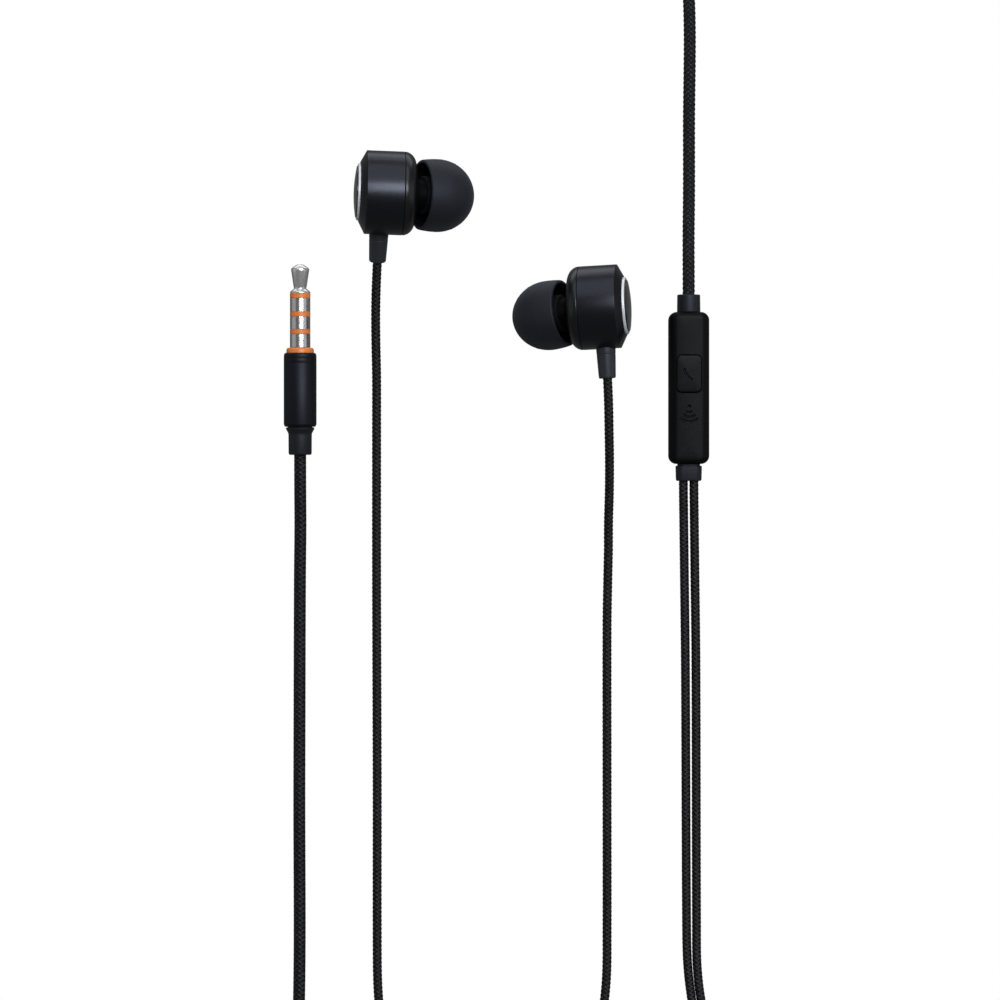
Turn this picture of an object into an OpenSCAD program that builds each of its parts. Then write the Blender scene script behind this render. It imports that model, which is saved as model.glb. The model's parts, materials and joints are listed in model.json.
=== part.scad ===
// Wired in-ear earphones, laid flat: two buds, an in-line remote and a 3.5 mm plug on braided cords.
// +X runs across the pair, +Y along the straight cords and +Z up from the surface they lie on.

/* [Bud housing] */
// Outside diameter of the barrel
barrel_d = 14.2; // [13.6:0.1:18]
// Length of the straight side of the barrel
barrel_len = 6.4; // [6.2:0.1:9]
// Wall of the barrel
shell_wall = 1; // [0.7:0.05:1.2]
// Length of the bevel at the outer end
bevel_len = 1.05; // [0.9:0.05:1.6]
// Width of the bevel, measured across
bevel_w = 2; // [1:0.05:2.2]
// Wall between the driver chamber and the face plate
end_wall = 0.7; // [0.5:0.05:1]
// Depth of the rounded front edge
front_edge_len = 2.05; // [1.9:0.05:3]
// Width of the rounded front edge
front_edge_w = 2.3; // [1.5:0.05:2.6]
// Rise of the shallow dome inside that edge
front_dome = 0.45; // [0.2:0.05:1]
// Length of the spigot that enters the barrel
spigot_len = 1.5; // [1:0.1:1.6]

/* [Face plate and trim ring] */
// Radial width of the bright ring
ring_w = 0.42; // [0.35:0.02:0.7]
// How far the ring stands proud of the barrel
ring_proud = 0.3; // [0.1:0.05:0.6]
// How far the middle of the face plate stands proud
plate_proud = 0.85; // [0.4:0.05:1.2]
// How far its edge stands proud
plate_edge_proud = 0.15; // [0:0.05:0.3]
// Diameter of the locating boss behind the plate
boss_d = 4.7; // [3:0.1:6]

/* [Nozzle and ear tips] */
// Diameter of the nozzle where the tip grips it
nozzle_d = 5; // [4.4:0.1:5.4]
// Depth of the groove behind the nozzle's lip
nozzle_groove = 0.25; // [0.1:0.05:0.4]
// Sound bore through the nozzle
nozzle_bore_d = 3.2; // [2.4:0.1:3.4]
// Length of the nozzle along its own axis
nozzle_len = 5.4; // [4.6:0.1:6.2]
// Slant of the nozzle from the barrel's axis
nozzle_slant = 17; // [5:1:22]
// Turn of that slant towards the cord
nozzle_turn = 18; // [0:1:30]
// Distance of the nozzle's root from the edge of the barrel
nozzle_inset = 5.5; // [5:0.1:6]
// Largest diameter of the left ear tip
left_tip_d = 12.4; // [11:0.1:13]
// Largest diameter of the right ear tip
right_tip_d = 11.8; // [11:0.1:13]
// Length of an ear tip from rim to apex
tip_len = 9.3; // [8.4:0.1:11.5]
// Distance from its rim to its widest place
tip_widest = 2.9; // [2:0.1:3.5]
// How much narrower the rim is than the widest place, on the radius
tip_flare = 0.5; // [0.2:0.05:0.8]
// Wall of the soft skirt
tip_wall = 0.55; // [0.4:0.05:0.7]
// Wall of the stem that grips the nozzle
tip_stem_wall = 0.65; // [0.5:0.05:0.9]
// Sound opening at the apex
tip_hole_d = 3.4; // [2.6:0.1:3.8]
// Distance from the nozzle's root to the rim
tip_stand = 0.8; // [0.7:0.05:1.5]

/* [Driver] */
// Outside diameter of the driver frame
driver_d = 10.6; // [9.8:0.1:10.8]
// Depth of the driver frame
driver_depth = 2.7; // [2.5:0.05:3]
// Thickness of the foam gasket in front of it
gasket_h = 0.4; // [0.3:0.05:0.6]
// Magnet diameter
magnet_d = 4.6; // [4:0.1:4.8]
// Magnet thickness
magnet_h = 1.55; // [1.2:0.05:1.8]
// Thickness of the pole plate
pole_h = 0.6; // [0.4:0.05:0.8]
// Radial wall of the voice coil
coil_wall = 0.24; // [0.16:0.02:0.3]
// Length of the voice coil
coil_len = 1.45; // [1.2:0.05:1.6]
// Wall of the iron yoke
yoke_wall = 0.4; // [0.3:0.05:0.5]
// Thickness of the diaphragm
film_h = 0.12; // [0.08:0.02:0.16]
// Travel of the diaphragm each way
cone_travel = 0.15; // [0.05:0.05:0.2]

/* [Strain relief] */
// Distance of its axis behind the seam
relief_at = 3.8; // [3.6:0.1:4]
// Distance of its free end from the barrel's axis
relief_reach = 12.1; // [10:0.1:15]
// Diameter at the barrel
relief_root_d = 3.35; // [3:0.05:3.8]
// Diameter at the free end
relief_end_d = 2.9; // [2.6:0.05:3.2]
// Diameter of the inner flange
relief_flange_d = 3.6; // [3.4:0.1:3.7]

/* [Remote] */
// Length of the body
remote_len = 25.9; // [25:0.1:34]
// Width of the body
remote_w = 6.96; // [6.9:0.02:9]
// Thickness of the body
remote_h = 5.2; // [5:0.1:6.5]
// Wall of its shells
remote_wall = 0.7; // [0.5:0.05:0.8]
// Corner radius seen from the front
remote_corner = 1.4; // [0.8:0.1:2]
// Rounding of the long edges
remote_round = 1.6; // [0.8:0.1:2.2]
// Button width
button_w = 4.3; // [3.6:0.1:4.5]
// Button length
button_len = 6.4; // [5:0.1:7]
// Place of the button's middle along the body
button_at = 2.4; // [1.8:0.1:3]
// Travel of the button
button_travel = 0.25; // [0.15:0.05:0.3]
// How far the button stands proud
button_proud = 0.15; // [0:0.05:0.3]
// Place of the microphone along the body
mic_at = -3.2; // [-4:0.1:-3]
// Diameter of the microphone hole
mic_hole_d = 0.7; // [0.5:0.1:1]
// Diameter of the microphone capsule
mic_d = 3; // [2.4:0.1:3.2]
// Thickness of the circuit board
board_h = 0.6; // [0.4:0.1:0.8]
// Diameter of the upper collar
top_collar_d = 4; // [3.6:0.1:4.4]
// Length of the upper collar outside the body
top_collar_len = 3; // [2:0.1:5]
// Width of the lower collar
low_collar_w = 4.5; // [4.4:0.1:5]
// Thickness of the lower collar
low_collar_h = 3; // [2.6:0.1:3.4]
// Length of the lower collar outside the body
low_collar_len = 2.9; // [2:0.1:5]

/* [Plug] */
// Diameter of the contacts
plug_d = 3.5; // [3.5]
// Length from the shoulder to the tip
plug_len = 14.2; // [14:0.1:14.6]
// Visible length of the sleeve contact
sleeve_len = 2.3; // [2:0.1:2.6]
// Length of the ring contact next to the sleeve
ring_rear_len = 2.2; // [2:0.1:2.4]
// Length of the ring contact next to the tip
ring_front_len = 2.35; // [2:0.05:2.5]
// Length of each insulator
insulator_len = 0.8; // [0.6:0.05:0.9]
// Widest diameter of the pointed head
head_d = 3.1; // [2.9:0.1:3.2]
// Diameter of the waist behind the head
waist_d = 2.4; // [2.2:0.1:2.6]
// Diameter of the round collar at the shoulder
plug_collar_d = 4.7; // [4.4:0.1:5]
// Visible length of that collar
plug_collar_len = 0.9; // [0.6:0.1:1.5]
// Diameter of the barrel
plug_barrel_d = 5.6; // [5.4:0.1:7]
// Length of the barrel
plug_barrel_len = 12.6; // [12:0.1:18]
// Length of the rubber tail
plug_tail_len = 4.55; // [3:0.05:8]
// Diameter of the tail at its free end
plug_tail_d = 4.05; // [3.4:0.05:4.6]

/* [Cords] */
// Diameter of the cord to the plug
cord_d = 2; // [1.8:0.1:2]
// Diameter of the cords to the buds
thin_cord_d = 1.5; // [1.3:0.1:1.5]
// Width of a tie
tie_w = 3; // [2:0.5:5]
// Thickness of a tie
tie_h = 0.3; // [0.2:0.05:0.4]

/* [Clearances] */
// Gap all round a glued or clipped piece
seat_fit = 0.04; // [0.02:0.01:0.06]
// Gap all round the nozzle inside the ear tip's stem
tip_fit = 0.04; // [0.02:0.01:0.08]
// Gap all round the button and round the moving diaphragm
moving_gap = 0.1; // [0.08:0.01:0.12]
// Gap all round a cord in its bore
cord_fit = 0.04; // [0.03:0.01:0.06]
// Gap between the coaxial tubes of the plug
pole_fit = 0.02; // [0.01:0.01:0.03]

/* [Hidden] */
$fn = 64;
SIDES = ["left", "right"];
BUD_NODES = ["housing", "front_shell", "trim_ring", "face_plate", "nozzle_mesh", "ear_tip",
    "driver_gasket", "driver_frame", "diaphragm", "voice_coil", "pole_plate", "magnet", "yoke",
    "terminal_board", "damping_felt", "strain_relief", "lead_wires"];

// How each bud lies: seam centre, outer face turned up, swing on the surface, roll about its axis
LEFT_SEAT = [-21.9, 20.55];
RIGHT_SEAT = [8.3, 1.1];
LEFT_FACE_UP = 4;
RIGHT_FACE_UP = 7.5;
LEFT_SWING = -2;
RIGHT_SWING = 3;
RIGHT_ROLL = 0;
function bud_roll(side) = side == "left" ? nozzle_turn : RIGHT_ROLL;
function bud_tilt(side) = side == "left" ? LEFT_FACE_UP : -RIGHT_FACE_UP;
function bud_swing(side) = side == "left" ? LEFT_SWING : RIGHT_SWING;
function bud_hand(side) = side == "left" ? 1 : -1;
function tip_d(side) = side == "left" ? left_tip_d : right_tip_d;

// Turns of a vector about X, Y and Z, in that order, as rotate() makes them
function turn_x(v, a) = [v.x, v.y * cos(a) - v.z * sin(a), v.y * sin(a) + v.z * cos(a)];
function turn_y(v, a) = [v.x * cos(a) + v.z * sin(a), v.y, v.z * cos(a) - v.x * sin(a)];
function turn_z(v, a) = [v.x * cos(a) - v.y * sin(a), v.x * sin(a) + v.y * cos(a), v.z];
function bud_turn(v, side) = turn_z(turn_y(turn_x([bud_hand(side) * v.x, v.y, v.z], bud_roll(side)),
    bud_tilt(side)), bud_swing(side));

// Slanted line of the nozzle in a bud's own axes: +X out of the ear side, -Y to the cord
barrel_r = barrel_d / 2;
nozzle_shift = barrel_r - nozzle_inset;
nozzle_root = [front_edge_len + front_dome - 0.2, -nozzle_shift * sin(nozzle_turn),
    -nozzle_shift * cos(nozzle_turn)];
nozzle_dir = [cos(nozzle_slant), -sin(nozzle_slant) * sin(nozzle_turn),
    -sin(nozzle_slant) * cos(nozzle_turn)];

// Height of a bud: its ear tip's widest round just meets the surface
function tip_middle(side) = bud_turn(nozzle_root + nozzle_dir * (tip_stand + tip_widest), side).z;
function tip_drop(side) = let(slope = bud_turn(nozzle_dir, side).z)
    sqrt(pow((tip_len - tip_widest) * slope, 2) + pow(tip_d(side) / 2, 2) * (1 - slope * slope));
function bud_place(side) = let(seat = side == "left" ? LEFT_SEAT : RIGHT_SEAT)
    [seat.x, seat.y, tip_drop(side) - tip_middle(side)];
function bud_point(v, side) = bud_place(side) + bud_turn(v, side);

// Stations along a bud's axis, with the seam between barrel and front shell at 0
barrel_in_r = barrel_r - shell_wall;
barrel_end = -barrel_len - bevel_len;
plate_seat = barrel_end + 0.45;
chamber_floor = plate_seat + end_wall;
plate_hole_r = barrel_r - bevel_w - 0.2;
ring_r = plate_hole_r - seat_fit;
plate_r = ring_r - ring_w - seat_fit;

// Front shell: its dome starts where the rounded edge ends
front_cap_r = barrel_r - 0.8 * front_edge_w;
front_cap = [for (i = [0:6]) let(r = front_cap_r * (1 - i / 6))
    [r, front_edge_len + front_dome * (1 - pow(r / front_cap_r, 2))]];
front_chamber = front_edge_len - 0.65;

// Nozzle and its mesh, strain relief and its neck
nozzle_neck_r = nozzle_d / 2 - nozzle_groove;
mesh_depth = 0.4;
mesh_r = nozzle_bore_d / 2 + 0.3;
relief_neck_r = relief_root_d / 2 - 0.38;
relief_root = barrel_r - 0.35;
driver_r = driver_d / 2;
driver_seat = 0.7;
gasket_r = driver_r - 0.8;
driver_front = driver_seat - gasket_h;
driver_back = driver_front - driver_depth;
film_seat = driver_front - 0.55;
film_rest = film_seat + cone_travel + 0.03;
frame_wall = 0.45;
film_r = driver_r - frame_wall - moving_gap;
pole_r = magnet_d / 2 + 0.15;
voice_in_r = pole_r + 0.17;
voice_out_r = voice_in_r + coil_wall;
yoke_in_r = voice_out_r + 0.14;
yoke_r = yoke_in_r + yoke_wall;
yoke_back = driver_back - 1.1;
magnet_back = yoke_back + 0.5;
board_back = driver_back - 0.35;

// Outline of an ear tip: [radius, distance from the rim]
function bow(mid_r, mid_t, size_r, size_t, from, to, steps) =
    [for (i = [0:steps]) let(a = from + (to - from) * i / steps)
        [mid_r + size_r * cos(a), mid_t + size_t * sin(a)]];
tip_bore_r = nozzle_d / 2 + tip_fit;
tip_stem_r = tip_bore_r + tip_stem_wall;
tip_hole_r = tip_hole_d / 2;
tip_lip = 0.45;
tip_shoulder = nozzle_len - tip_stand + 0.3;
function tip_outline(side) = let(
        out_r = tip_d(side) / 2,
        out_t = tip_len - tip_widest,
        in_r = out_r - tip_wall,
        in_t = out_t - 1.2,
        lip_angle = acos((tip_hole_r + tip_lip) / out_r),
        web_angle = acos(tip_stem_r / in_r),
        lip_t = tip_widest + out_t * sin(lip_angle))
    concat(
        [for (i = [0:4]) let(t = tip_widest * i / 5) [out_r - tip_flare * pow(1 - t / tip_widest, 2), t]],
        bow(0, tip_widest, out_r, out_t, 0, lip_angle, 12),
        bow(tip_hole_r + tip_lip, lip_t - tip_lip / 2, tip_lip, tip_lip / 2, 120, 180, 3),
        [[tip_hole_r, tip_shoulder], [tip_bore_r, tip_shoulder], [tip_bore_r, 0.25], [tip_stem_r, 0.25]],
        bow(0, tip_widest, in_r, in_t, web_angle, 0, 10),
        [for (i = [4:-1:0]) let(t = tip_widest * i / 5)
            [in_r - (tip_flare - 0.15) * pow(1 - t / tip_widest, 2), t]]);

// Remote: its middle, the height of its cords and the stack on its board
REMOTE_AT = [26.7, -12.3];
LOW_CORD_GAP = 0.9;
remote_axis = remote_h / 2;
remote_end = remote_len / 2;
low_neck_w = low_collar_w - 0.6;
low_neck_h = low_collar_h - 0.8;
bay_w = remote_w - 2 * remote_wall;
bay_len = remote_len - 2 * remote_wall;
bay_top = remote_h - remote_wall;
tongue_w = 0.4;
board_w = bay_w - 2 * tongue_w - 0.3;
board_len = bay_len - 3.9;
board_top = remote_axis - 0.1;
board_bottom = board_top - board_h;
switch_w = 3;
switch_len = 3.5;
switch_h = 0.7;
plunger_r = 0.75;
plunger_spare = 0.15;
plunger_top = board_top + switch_h + button_travel + plunger_spare;
nib_bottom = plunger_top + 0.05;
flange_rim = 0.35;
flange_top = bay_top - 0.08;
flange_bottom = flange_top - 0.4;
mic_h = 1.1;
neck_d = 3;
collar_flange_h = 0.5;

// Plug: its shoulder, and stations counted from there towards the tip
PLUG_AT = [-39.6, -5.4];
plug_axis = plug_barrel_d / 2;
plug_r = plug_d / 2;
ring_rear_at = sleeve_len + insulator_len;
insulator_mid_at = ring_rear_at + ring_rear_len;
ring_front_at = insulator_mid_at + insulator_len;
insulator_front_at = ring_front_at + ring_front_len;
head_at = insulator_front_at + insulator_len;
barrel_front = -plug_collar_len;
barrel_back = barrel_front - plug_barrel_len;
tail_front = barrel_back - 0.25;
tail_back = tail_front - plug_tail_len;
core_back = -6.5;
core_r = plug_barrel_d / 2 - 0.6;
rod_r = 0.4;
sleeve_root_r = plug_r - 0.2;
tube_wall = 0.17;
function tube_in(n) = rod_r + pole_fit + n * (tube_wall + pole_fit);

// Coils of stored cord: middle, turns and radius at the middle of the turns
MAIN_COIL = [-77.5, -135.4];
MAIN_TURNS = 4.25;
MAIN_COIL_R = 10.5;
LEFT_COIL = [-15.6, -135];
LEFT_TURNS = 2.25;
RIGHT_COIL = [19.6, -131.5];
RIGHT_TURNS = 3.5;
THIN_COIL_R = 8;
// Room inside a straight tie for the curve of the coil
TIE_SLACK = 0.6;

// Routes of the cords on the surface, apart from their coils
main_route_a = [[26.7, 0.2, 2.6], [26.7, 5, 2.6], [26.7, 13, 2], [26.8, 22, 1.2], [26.8, 32, 1],
    [26.8, 54, 1], [25.7, 58, 1], [22.8, 60.9, 1], [18.8, 62, 1], [-14, 62, 1], [-48, 62, 1],
    [-81.3, 62, 1], [-87.3, 60.4, 1], [-91.7, 56, 1], [-93.3, 50, 1], [-93.3, 12, 1], [-93.3, -26, 1],
    [-93.3, -64, 1], [-93.3, -106, 1], [-93.1, -114, 1], [-92.3, -121, 1], [-91.2, -128, 1.1],
    [-90.1, -135.4, 1.3]];
main_route_b = [[-77.5, -148, 3.3], [-73, -148, 3], [-68.9, -148, 2.3], [-61.4, -147, 1.4],
    [-54.4, -144.1, 1], [-48.4, -139.5, 1], [-43.8, -133.5, 1], [-40.9, -126.5, 1], [-39.9, -119, 1],
    [-39.8, -80, 1], [-39.7, -45, 1], [-39.6, -36, 1.5], [-39.6, -30, 2.4], [-39.6, -24, 2.8],
    [-39.6, -17.5, 2.8]];
left_route_a = [[-26.7, 1, 3.2], [-26.7, -4, 2], [-26.6, -10, 1.1], [-26.6, -17, 0.75],
    [-26.6, -45, 0.75], [-26.5, -80, 0.75], [-26.5, -106, 0.75], [-26.4, -114, 0.75],
    [-25.9, -121, 0.75], [-25.1, -128, 0.8], [-24.5, -135, 1.05]];
left_route_b = [[-15.6, -143.9, 2.55], [-11, -143.9, 2.2], [-5, -143.9, 1.2], [2, -144, 0.75],
    [19.5, -144, 0.75], [24.1, -143.1, 0.75], [28, -140.5, 0.75], [30.6, -136.6, 0.75],
    [31.5, -132, 0.75], [31.3, -127, 0.75], [30.2, -122, 0.75], [28.9, -117, 0.75], [28.2, -111, 0.75],
    [28.1, -104, 0.75], [28, -60, 0.75], [27.8, -42, 0.75], [27.7, -35, 1.3], [27.6, -29.5, 2.5],
    [27.6, -24.6, 2.6]];
right_route_a = [[13, -20, 8.9], [13.1, -25, 7.3], [13.1, -30, 5.4], [13, -35, 3.6], [13, -40, 2.1],
    [12.9, -46, 1.1], [12.8, -53, 0.75], [12.8, -80, 0.75], [12.8, -106, 0.75], [12.7, -113, 0.75],
    [12.1, -119, 0.75], [11.1, -125, 0.8], [10.3, -131.5, 1.05]];
right_route_b = [[28.9, -131.5, 2.55], [28.8, -127, 2.2], [28.2, -122, 1.4], [27.3, -117, 0.9],
    [26.6, -111, 0.75], [26.4, -104, 0.75], [26.2, -60, 0.75], [26, -42, 0.75], [25.9, -35, 1.3],
    [25.8, -29.5, 2.5], [25.8, -24.6, 2.6]];

// A thin cord begins inside its strain relief and comes straight out of it
cord_start = barrel_in_r - 0.4;
function cord_root(side) = [bud_point([-relief_at, -cord_start, 0], side),
    bud_point([-relief_at, -relief_reach - 3, 0], side)];

// One tube along a route, with eight sides and a ring square to the path at each point
CORD_SIDES = 8;
function along(route, i) = let(step = route[min(i + 1, len(route) - 1)] - route[max(i - 1, 0)])
    step / norm(step);
function ring_at(route, i, r) = let(
        ahead = along(route, i),
        across = cross(ahead, [0, 0, 1]) / norm(cross(ahead, [0, 0, 1])),
        up = cross(across, ahead))
    [for (k = [0:CORD_SIDES - 1]) let(a = (k + 0.5) * 360 / CORD_SIDES)
        route[i] + across * r * cos(a) + up * r * sin(a)];
module cord_tube(route, d) {
    rings = len(route);
    points = [for (i = [0:rings - 1]) each ring_at(route, i, d / 2)];
    sides = [for (i = [0:rings - 2]) for (k = [0:CORD_SIDES - 1])
        let(here = i * CORD_SIDES + k, next = i * CORD_SIDES + (k + 1) % CORD_SIDES)
        [here, here + CORD_SIDES, next + CORD_SIDES, next]];
    start = [[for (k = [0:CORD_SIDES - 1]) k]];
    end = [[for (k = [CORD_SIDES - 1:-1:0]) (rings - 1) * CORD_SIDES + k]];
    polyhedron(points, concat(sides, start, end));
}

// Placing helpers
module place_bud(side) {
    translate(bud_place(side))
        rotate([bud_roll(side), bud_tilt(side), bud_swing(side)])
            mirror([side == "right" ? 1 : 0, 0, 0])
                children();
}
module turned() {
    rotate([0, 90, 0])
        rotate_extrude()
            children();
}
module disc(from, to, r) {
    translate([from, 0, 0])
        rotate([0, 90, 0])
            cylinder(h = to - from, r = r);
}
module tube(from, to, r, hole_r) {
    difference() {
        disc(from, to, r);
        disc(from - 1, to + 1, hole_r);
    }
}
// Runs children along the nozzle, whose own axis becomes +X
module on_nozzle() {
    translate(nozzle_root)
        rotate([-nozzle_turn, 0, 0])
            rotate([0, nozzle_slant, 0])
                children();
}
// Runs children towards the cord side, from the barrel's axis out along the strain relief
module on_relief() {
    translate([-relief_at, 0, 0])
        rotate([90, 0, 0])
            children();
}
module rod(from, to, d) {
    way = to - from;
    translate(from)
        rotate([0, acos(way.z / norm(way)), atan2(way.y, way.x)])
            cylinder(h = norm(way), d = d);
}
module rounded(w, l, r) {
    square([w - 2 * r, l], center = true);
    square([w, l - 2 * r], center = true);
    for (x = [-1, 1], y = [-1, 1])
        translate([x * (w / 2 - r), y * (l / 2 - r)])
            circle(r = r);
}

// ---- one bud, drawn in its own axes: +X out of the ear side, -Y to the cord ----

module housing() {
    color([0.06, 0.065, 0.08])
        difference() {
            turned()
                polygon([[0, 0], [0, barrel_end], [barrel_r - bevel_w, barrel_end],
                    [barrel_r, -barrel_len], [barrel_r, 0]]);
            turned()
                polygon([[0, 1], [0, chamber_floor], [barrel_in_r - 0.9, chamber_floor],
                    [barrel_in_r, chamber_floor + 0.6], [barrel_in_r, 1]]);
            disc(barrel_end - 1, plate_seat, plate_hole_r);
            disc(barrel_end, chamber_floor + 1, boss_d / 2 + seat_fit);
            on_relief()
                cylinder(h = barrel_d, r = relief_neck_r + seat_fit);
            on_relief()
                translate([0, 0, relief_root])
                    cylinder(h = barrel_d, d = relief_root_d + 2 * seat_fit);
        }
}

module front_shell() {
    color([0.045, 0.05, 0.06])
        difference() {
            union() {
                turned()
                    polygon(concat([[0, 0]], bow(barrel_r - front_edge_w, 0, front_edge_w, front_edge_len,
                        0, 75, 8), front_cap));
                tube(-spigot_len, 0.5, barrel_in_r - seat_fit, driver_r);
                on_nozzle()
                    turned()
                        polygon([[0, -2], [nozzle_d / 2, -2], [nozzle_d / 2, 2.1], [nozzle_neck_r, 2.4],
                            [nozzle_neck_r, nozzle_len - 1.2], [nozzle_d / 2, nozzle_len - 0.8],
                            [nozzle_d / 2, nozzle_len - 0.3], [nozzle_d / 2 - 0.3, nozzle_len],
                            [0, nozzle_len]]);
            }
            disc(-spigot_len - 1, driver_seat, driver_r + seat_fit);
            disc(-1, front_chamber, gasket_r);
            on_nozzle()
                disc(-2.5, nozzle_len + 1, nozzle_bore_d / 2);
            on_nozzle()
                disc(nozzle_len - mesh_depth, nozzle_len + 1, mesh_r + seat_fit);
        }
}

module trim_ring() {
    ring_in = ring_r - ring_w;
    ring_top = barrel_end - ring_proud;
    color([0.8, 0.81, 0.83])
        turned()
            polygon(concat([[ring_in, plate_seat]],
                bow(ring_r - ring_w / 2, ring_top + 0.2, ring_w / 2, 0.2, 180, 360, 8),
                [[ring_r, plate_seat]]));
}

module face_plate() {
    edge = barrel_end - plate_edge_proud;
    rise = plate_proud - plate_edge_proud;
    color([0.02, 0.02, 0.025]) {
        turned()
            polygon(concat([[0, plate_seat]],
                [for (i = [0:8]) let(r = plate_r * i / 8) [r, edge - rise * (1 - pow(r / plate_r, 2))]],
                [[plate_r, plate_seat]]));
        disc(plate_seat - 0.1, chamber_floor, boss_d / 2);
    }
}

module nozzle_mesh() {
    color([0.55, 0.55, 0.56])
        on_nozzle()
            disc(nozzle_len - mesh_depth, nozzle_len - mesh_depth + 0.2, mesh_r);
}

module ear_tip(side) {
    color([0.1, 0.105, 0.115])
        on_nozzle()
            translate([tip_stand, 0, 0])
                turned()
                    polygon(tip_outline(side));
}

module driver_gasket() {
    color([0.2, 0.2, 0.2])
        tube(driver_front, driver_seat, driver_r, gasket_r);
}

module driver_frame() {
    wall_in = driver_r - frame_wall;
    floor_top = driver_back + 0.45;
    color([0.75, 0.75, 0.72])
        difference() {
            turned()
                polygon([[wall_in, driver_front], [driver_r, driver_front], [driver_r, driver_back],
                    [yoke_r + pole_fit, driver_back], [yoke_r + pole_fit, floor_top],
                    [wall_in - 0.4, floor_top], [wall_in - 0.4, film_seat], [wall_in, film_seat]]);
            for (k = [0:5])
                rotate([k * 60 + 30, 0, 0])
                    translate([0, 0, (yoke_r + wall_in - 0.4) / 2])
                        disc(driver_back - 1, floor_top + 1, 0.25);
        }
}

module diaphragm() {
    roll_in = voice_out_r + 0.3;
    roll_out = film_r - 0.35;
    roll_r = (roll_out - roll_in) / 2;
    under = concat([[film_r, 0]], bow((roll_in + roll_out) / 2, 0, roll_r, 0.3, 0, 180, 8),
        bow(0, 0, voice_in_r, 0.45, 0, 90, 6));
    outline = concat(under, [for (i = [len(under) - 1:-1:0]) under[i] + [0, film_h]]);
    color([0.7, 0.6, 0.45])
        translate([film_rest, 0, 0])
            turned()
                polygon(outline);
}

module voice_coil() {
    color([0.72, 0.4, 0.2])
        tube(film_rest - coil_len, film_rest, voice_out_r, voice_in_r);
}

module pole_plate() {
    color([0.6, 0.6, 0.62])
        tube(magnet_back + magnet_h, magnet_back + magnet_h + pole_h, pole_r, 0.5);
}

module magnet() {
    color([0.7, 0.7, 0.73])
        tube(magnet_back, magnet_back + magnet_h, magnet_d / 2, 0.5);
}

module yoke() {
    color([0.62, 0.62, 0.6])
        difference() {
            disc(yoke_back, magnet_back + magnet_h + pole_h, yoke_r);
            disc(magnet_back, driver_front, yoke_in_r);
            disc(yoke_back - 1, magnet_back + 1, 0.5);
        }
}

// Part of a flat ring behind the driver frame, centred on the cord side or away from it
module back_sector(from, to, r, hole_r, middle, spread) {
    translate([from, 0, 0])
        rotate([0, 90, 0])
            rotate([0, 0, middle - spread / 2])
                rotate_extrude(angle = spread)
                    translate([hole_r, 0])
                        square([r - hole_r, to - from]);
}

module terminal_board() {
    color([0.1, 0.35, 0.2])
        back_sector(board_back, driver_back, driver_r - 0.1, yoke_r + 0.1, -90, 70);
}

module damping_felt() {
    color([0.3, 0.3, 0.3])
        back_sector(board_back, driver_back, driver_r - 0.2, yoke_r + 0.15, 90, 230);
}

module strain_relief() {
    color([0.07, 0.07, 0.075])
        difference() {
            union() {
                on_relief()
                    translate([0, 0, relief_root])
                        cylinder(
                            h = relief_reach - 0.6 - relief_root, d1 = relief_root_d, d2 = relief_end_d);
                on_relief()
                    translate([0, 0, relief_reach - 0.6])
                        cylinder(h = 0.6, d1 = relief_end_d, d2 = relief_end_d - 0.7);
                on_relief()
                    translate([0, 0, barrel_in_r - 0.5])
                        cylinder(h = 1.5, r = relief_neck_r);
                intersection() {
                    on_relief()
                        translate([0, 0, barrel_in_r - 0.65])
                            cylinder(h = 0.6, d = relief_flange_d);
                    disc(-barrel_len, 0, barrel_in_r - seat_fit);
                }
            }
            on_relief()
                cylinder(h = 2 * relief_reach, d = thin_cord_d + 2 * cord_fit);
        }
}

module lead_wires() {
    knot = [-relief_at - 0.15, -4.45, 0];
    color([0.75, 0.45, 0.2]) {
        rod([knot.x, -barrel_in_r + 0.45, 0], knot, 0.9);
        translate(knot)
            cylinder(h = 1.4, d = 1.2, center = true);
        for (z = [-0.5, 0.5]) {
            rod([knot.x, knot.y, z], [board_back - 0.2, knot.y, z], 0.3);
            translate([board_back - 0.3, knot.y, z])
                rotate([0, 90, 0])
                    cylinder(h = 0.3, r = 0.35);
        }
    }
}

// Draws one piece of one bud where it lies
module bud_piece(name, side) {
    place_bud(side) {
        if (name == "housing") housing();
        if (name == "front_shell") front_shell();
        if (name == "trim_ring") trim_ring();
        if (name == "face_plate") face_plate();
        if (name == "nozzle_mesh") nozzle_mesh();
        if (name == "ear_tip") ear_tip(side);
        if (name == "driver_gasket") driver_gasket();
        if (name == "driver_frame") driver_frame();
        if (name == "diaphragm") diaphragm();
        if (name == "voice_coil") voice_coil();
        if (name == "pole_plate") pole_plate();
        if (name == "magnet") magnet();
        if (name == "yoke") yoke();
        if (name == "terminal_board") terminal_board();
        if (name == "damping_felt") damping_felt();
        if (name == "strain_relief") strain_relief();
        if (name == "lead_wires") lead_wires();
    }
}

// ---- remote, drawn about its middle, face up ----

module remote_block(from, to) {
    intersection() {
        translate([0, 0, from])
            linear_extrude(to - from)
                rounded(remote_w, remote_len, remote_corner);
        rotate([90, 0, 0])
            translate([0, remote_h / 2, -remote_len])
                linear_extrude(2 * remote_len)
                    rounded(remote_w, remote_h, remote_round);
    }
}

module remote_bay() {
    translate([0, 0, remote_wall])
        linear_extrude(bay_top - remote_wall)
            rounded(bay_w, bay_len, remote_corner - remote_wall / 2);
}

// Passages for the necks of the two collars
module collar_passages() {
    rotate([-90, 0, 0])
        translate([0, -remote_axis, 0])
            cylinder(h = remote_len, d = neck_d + 2 * seat_fit);
    translate([0, -remote_end / 2 - 3, remote_axis])
        rotate([90, 0, 0])
            low_collar_slab(low_neck_w + 2 * seat_fit, low_neck_h + 2 * seat_fit, remote_end);
}

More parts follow.
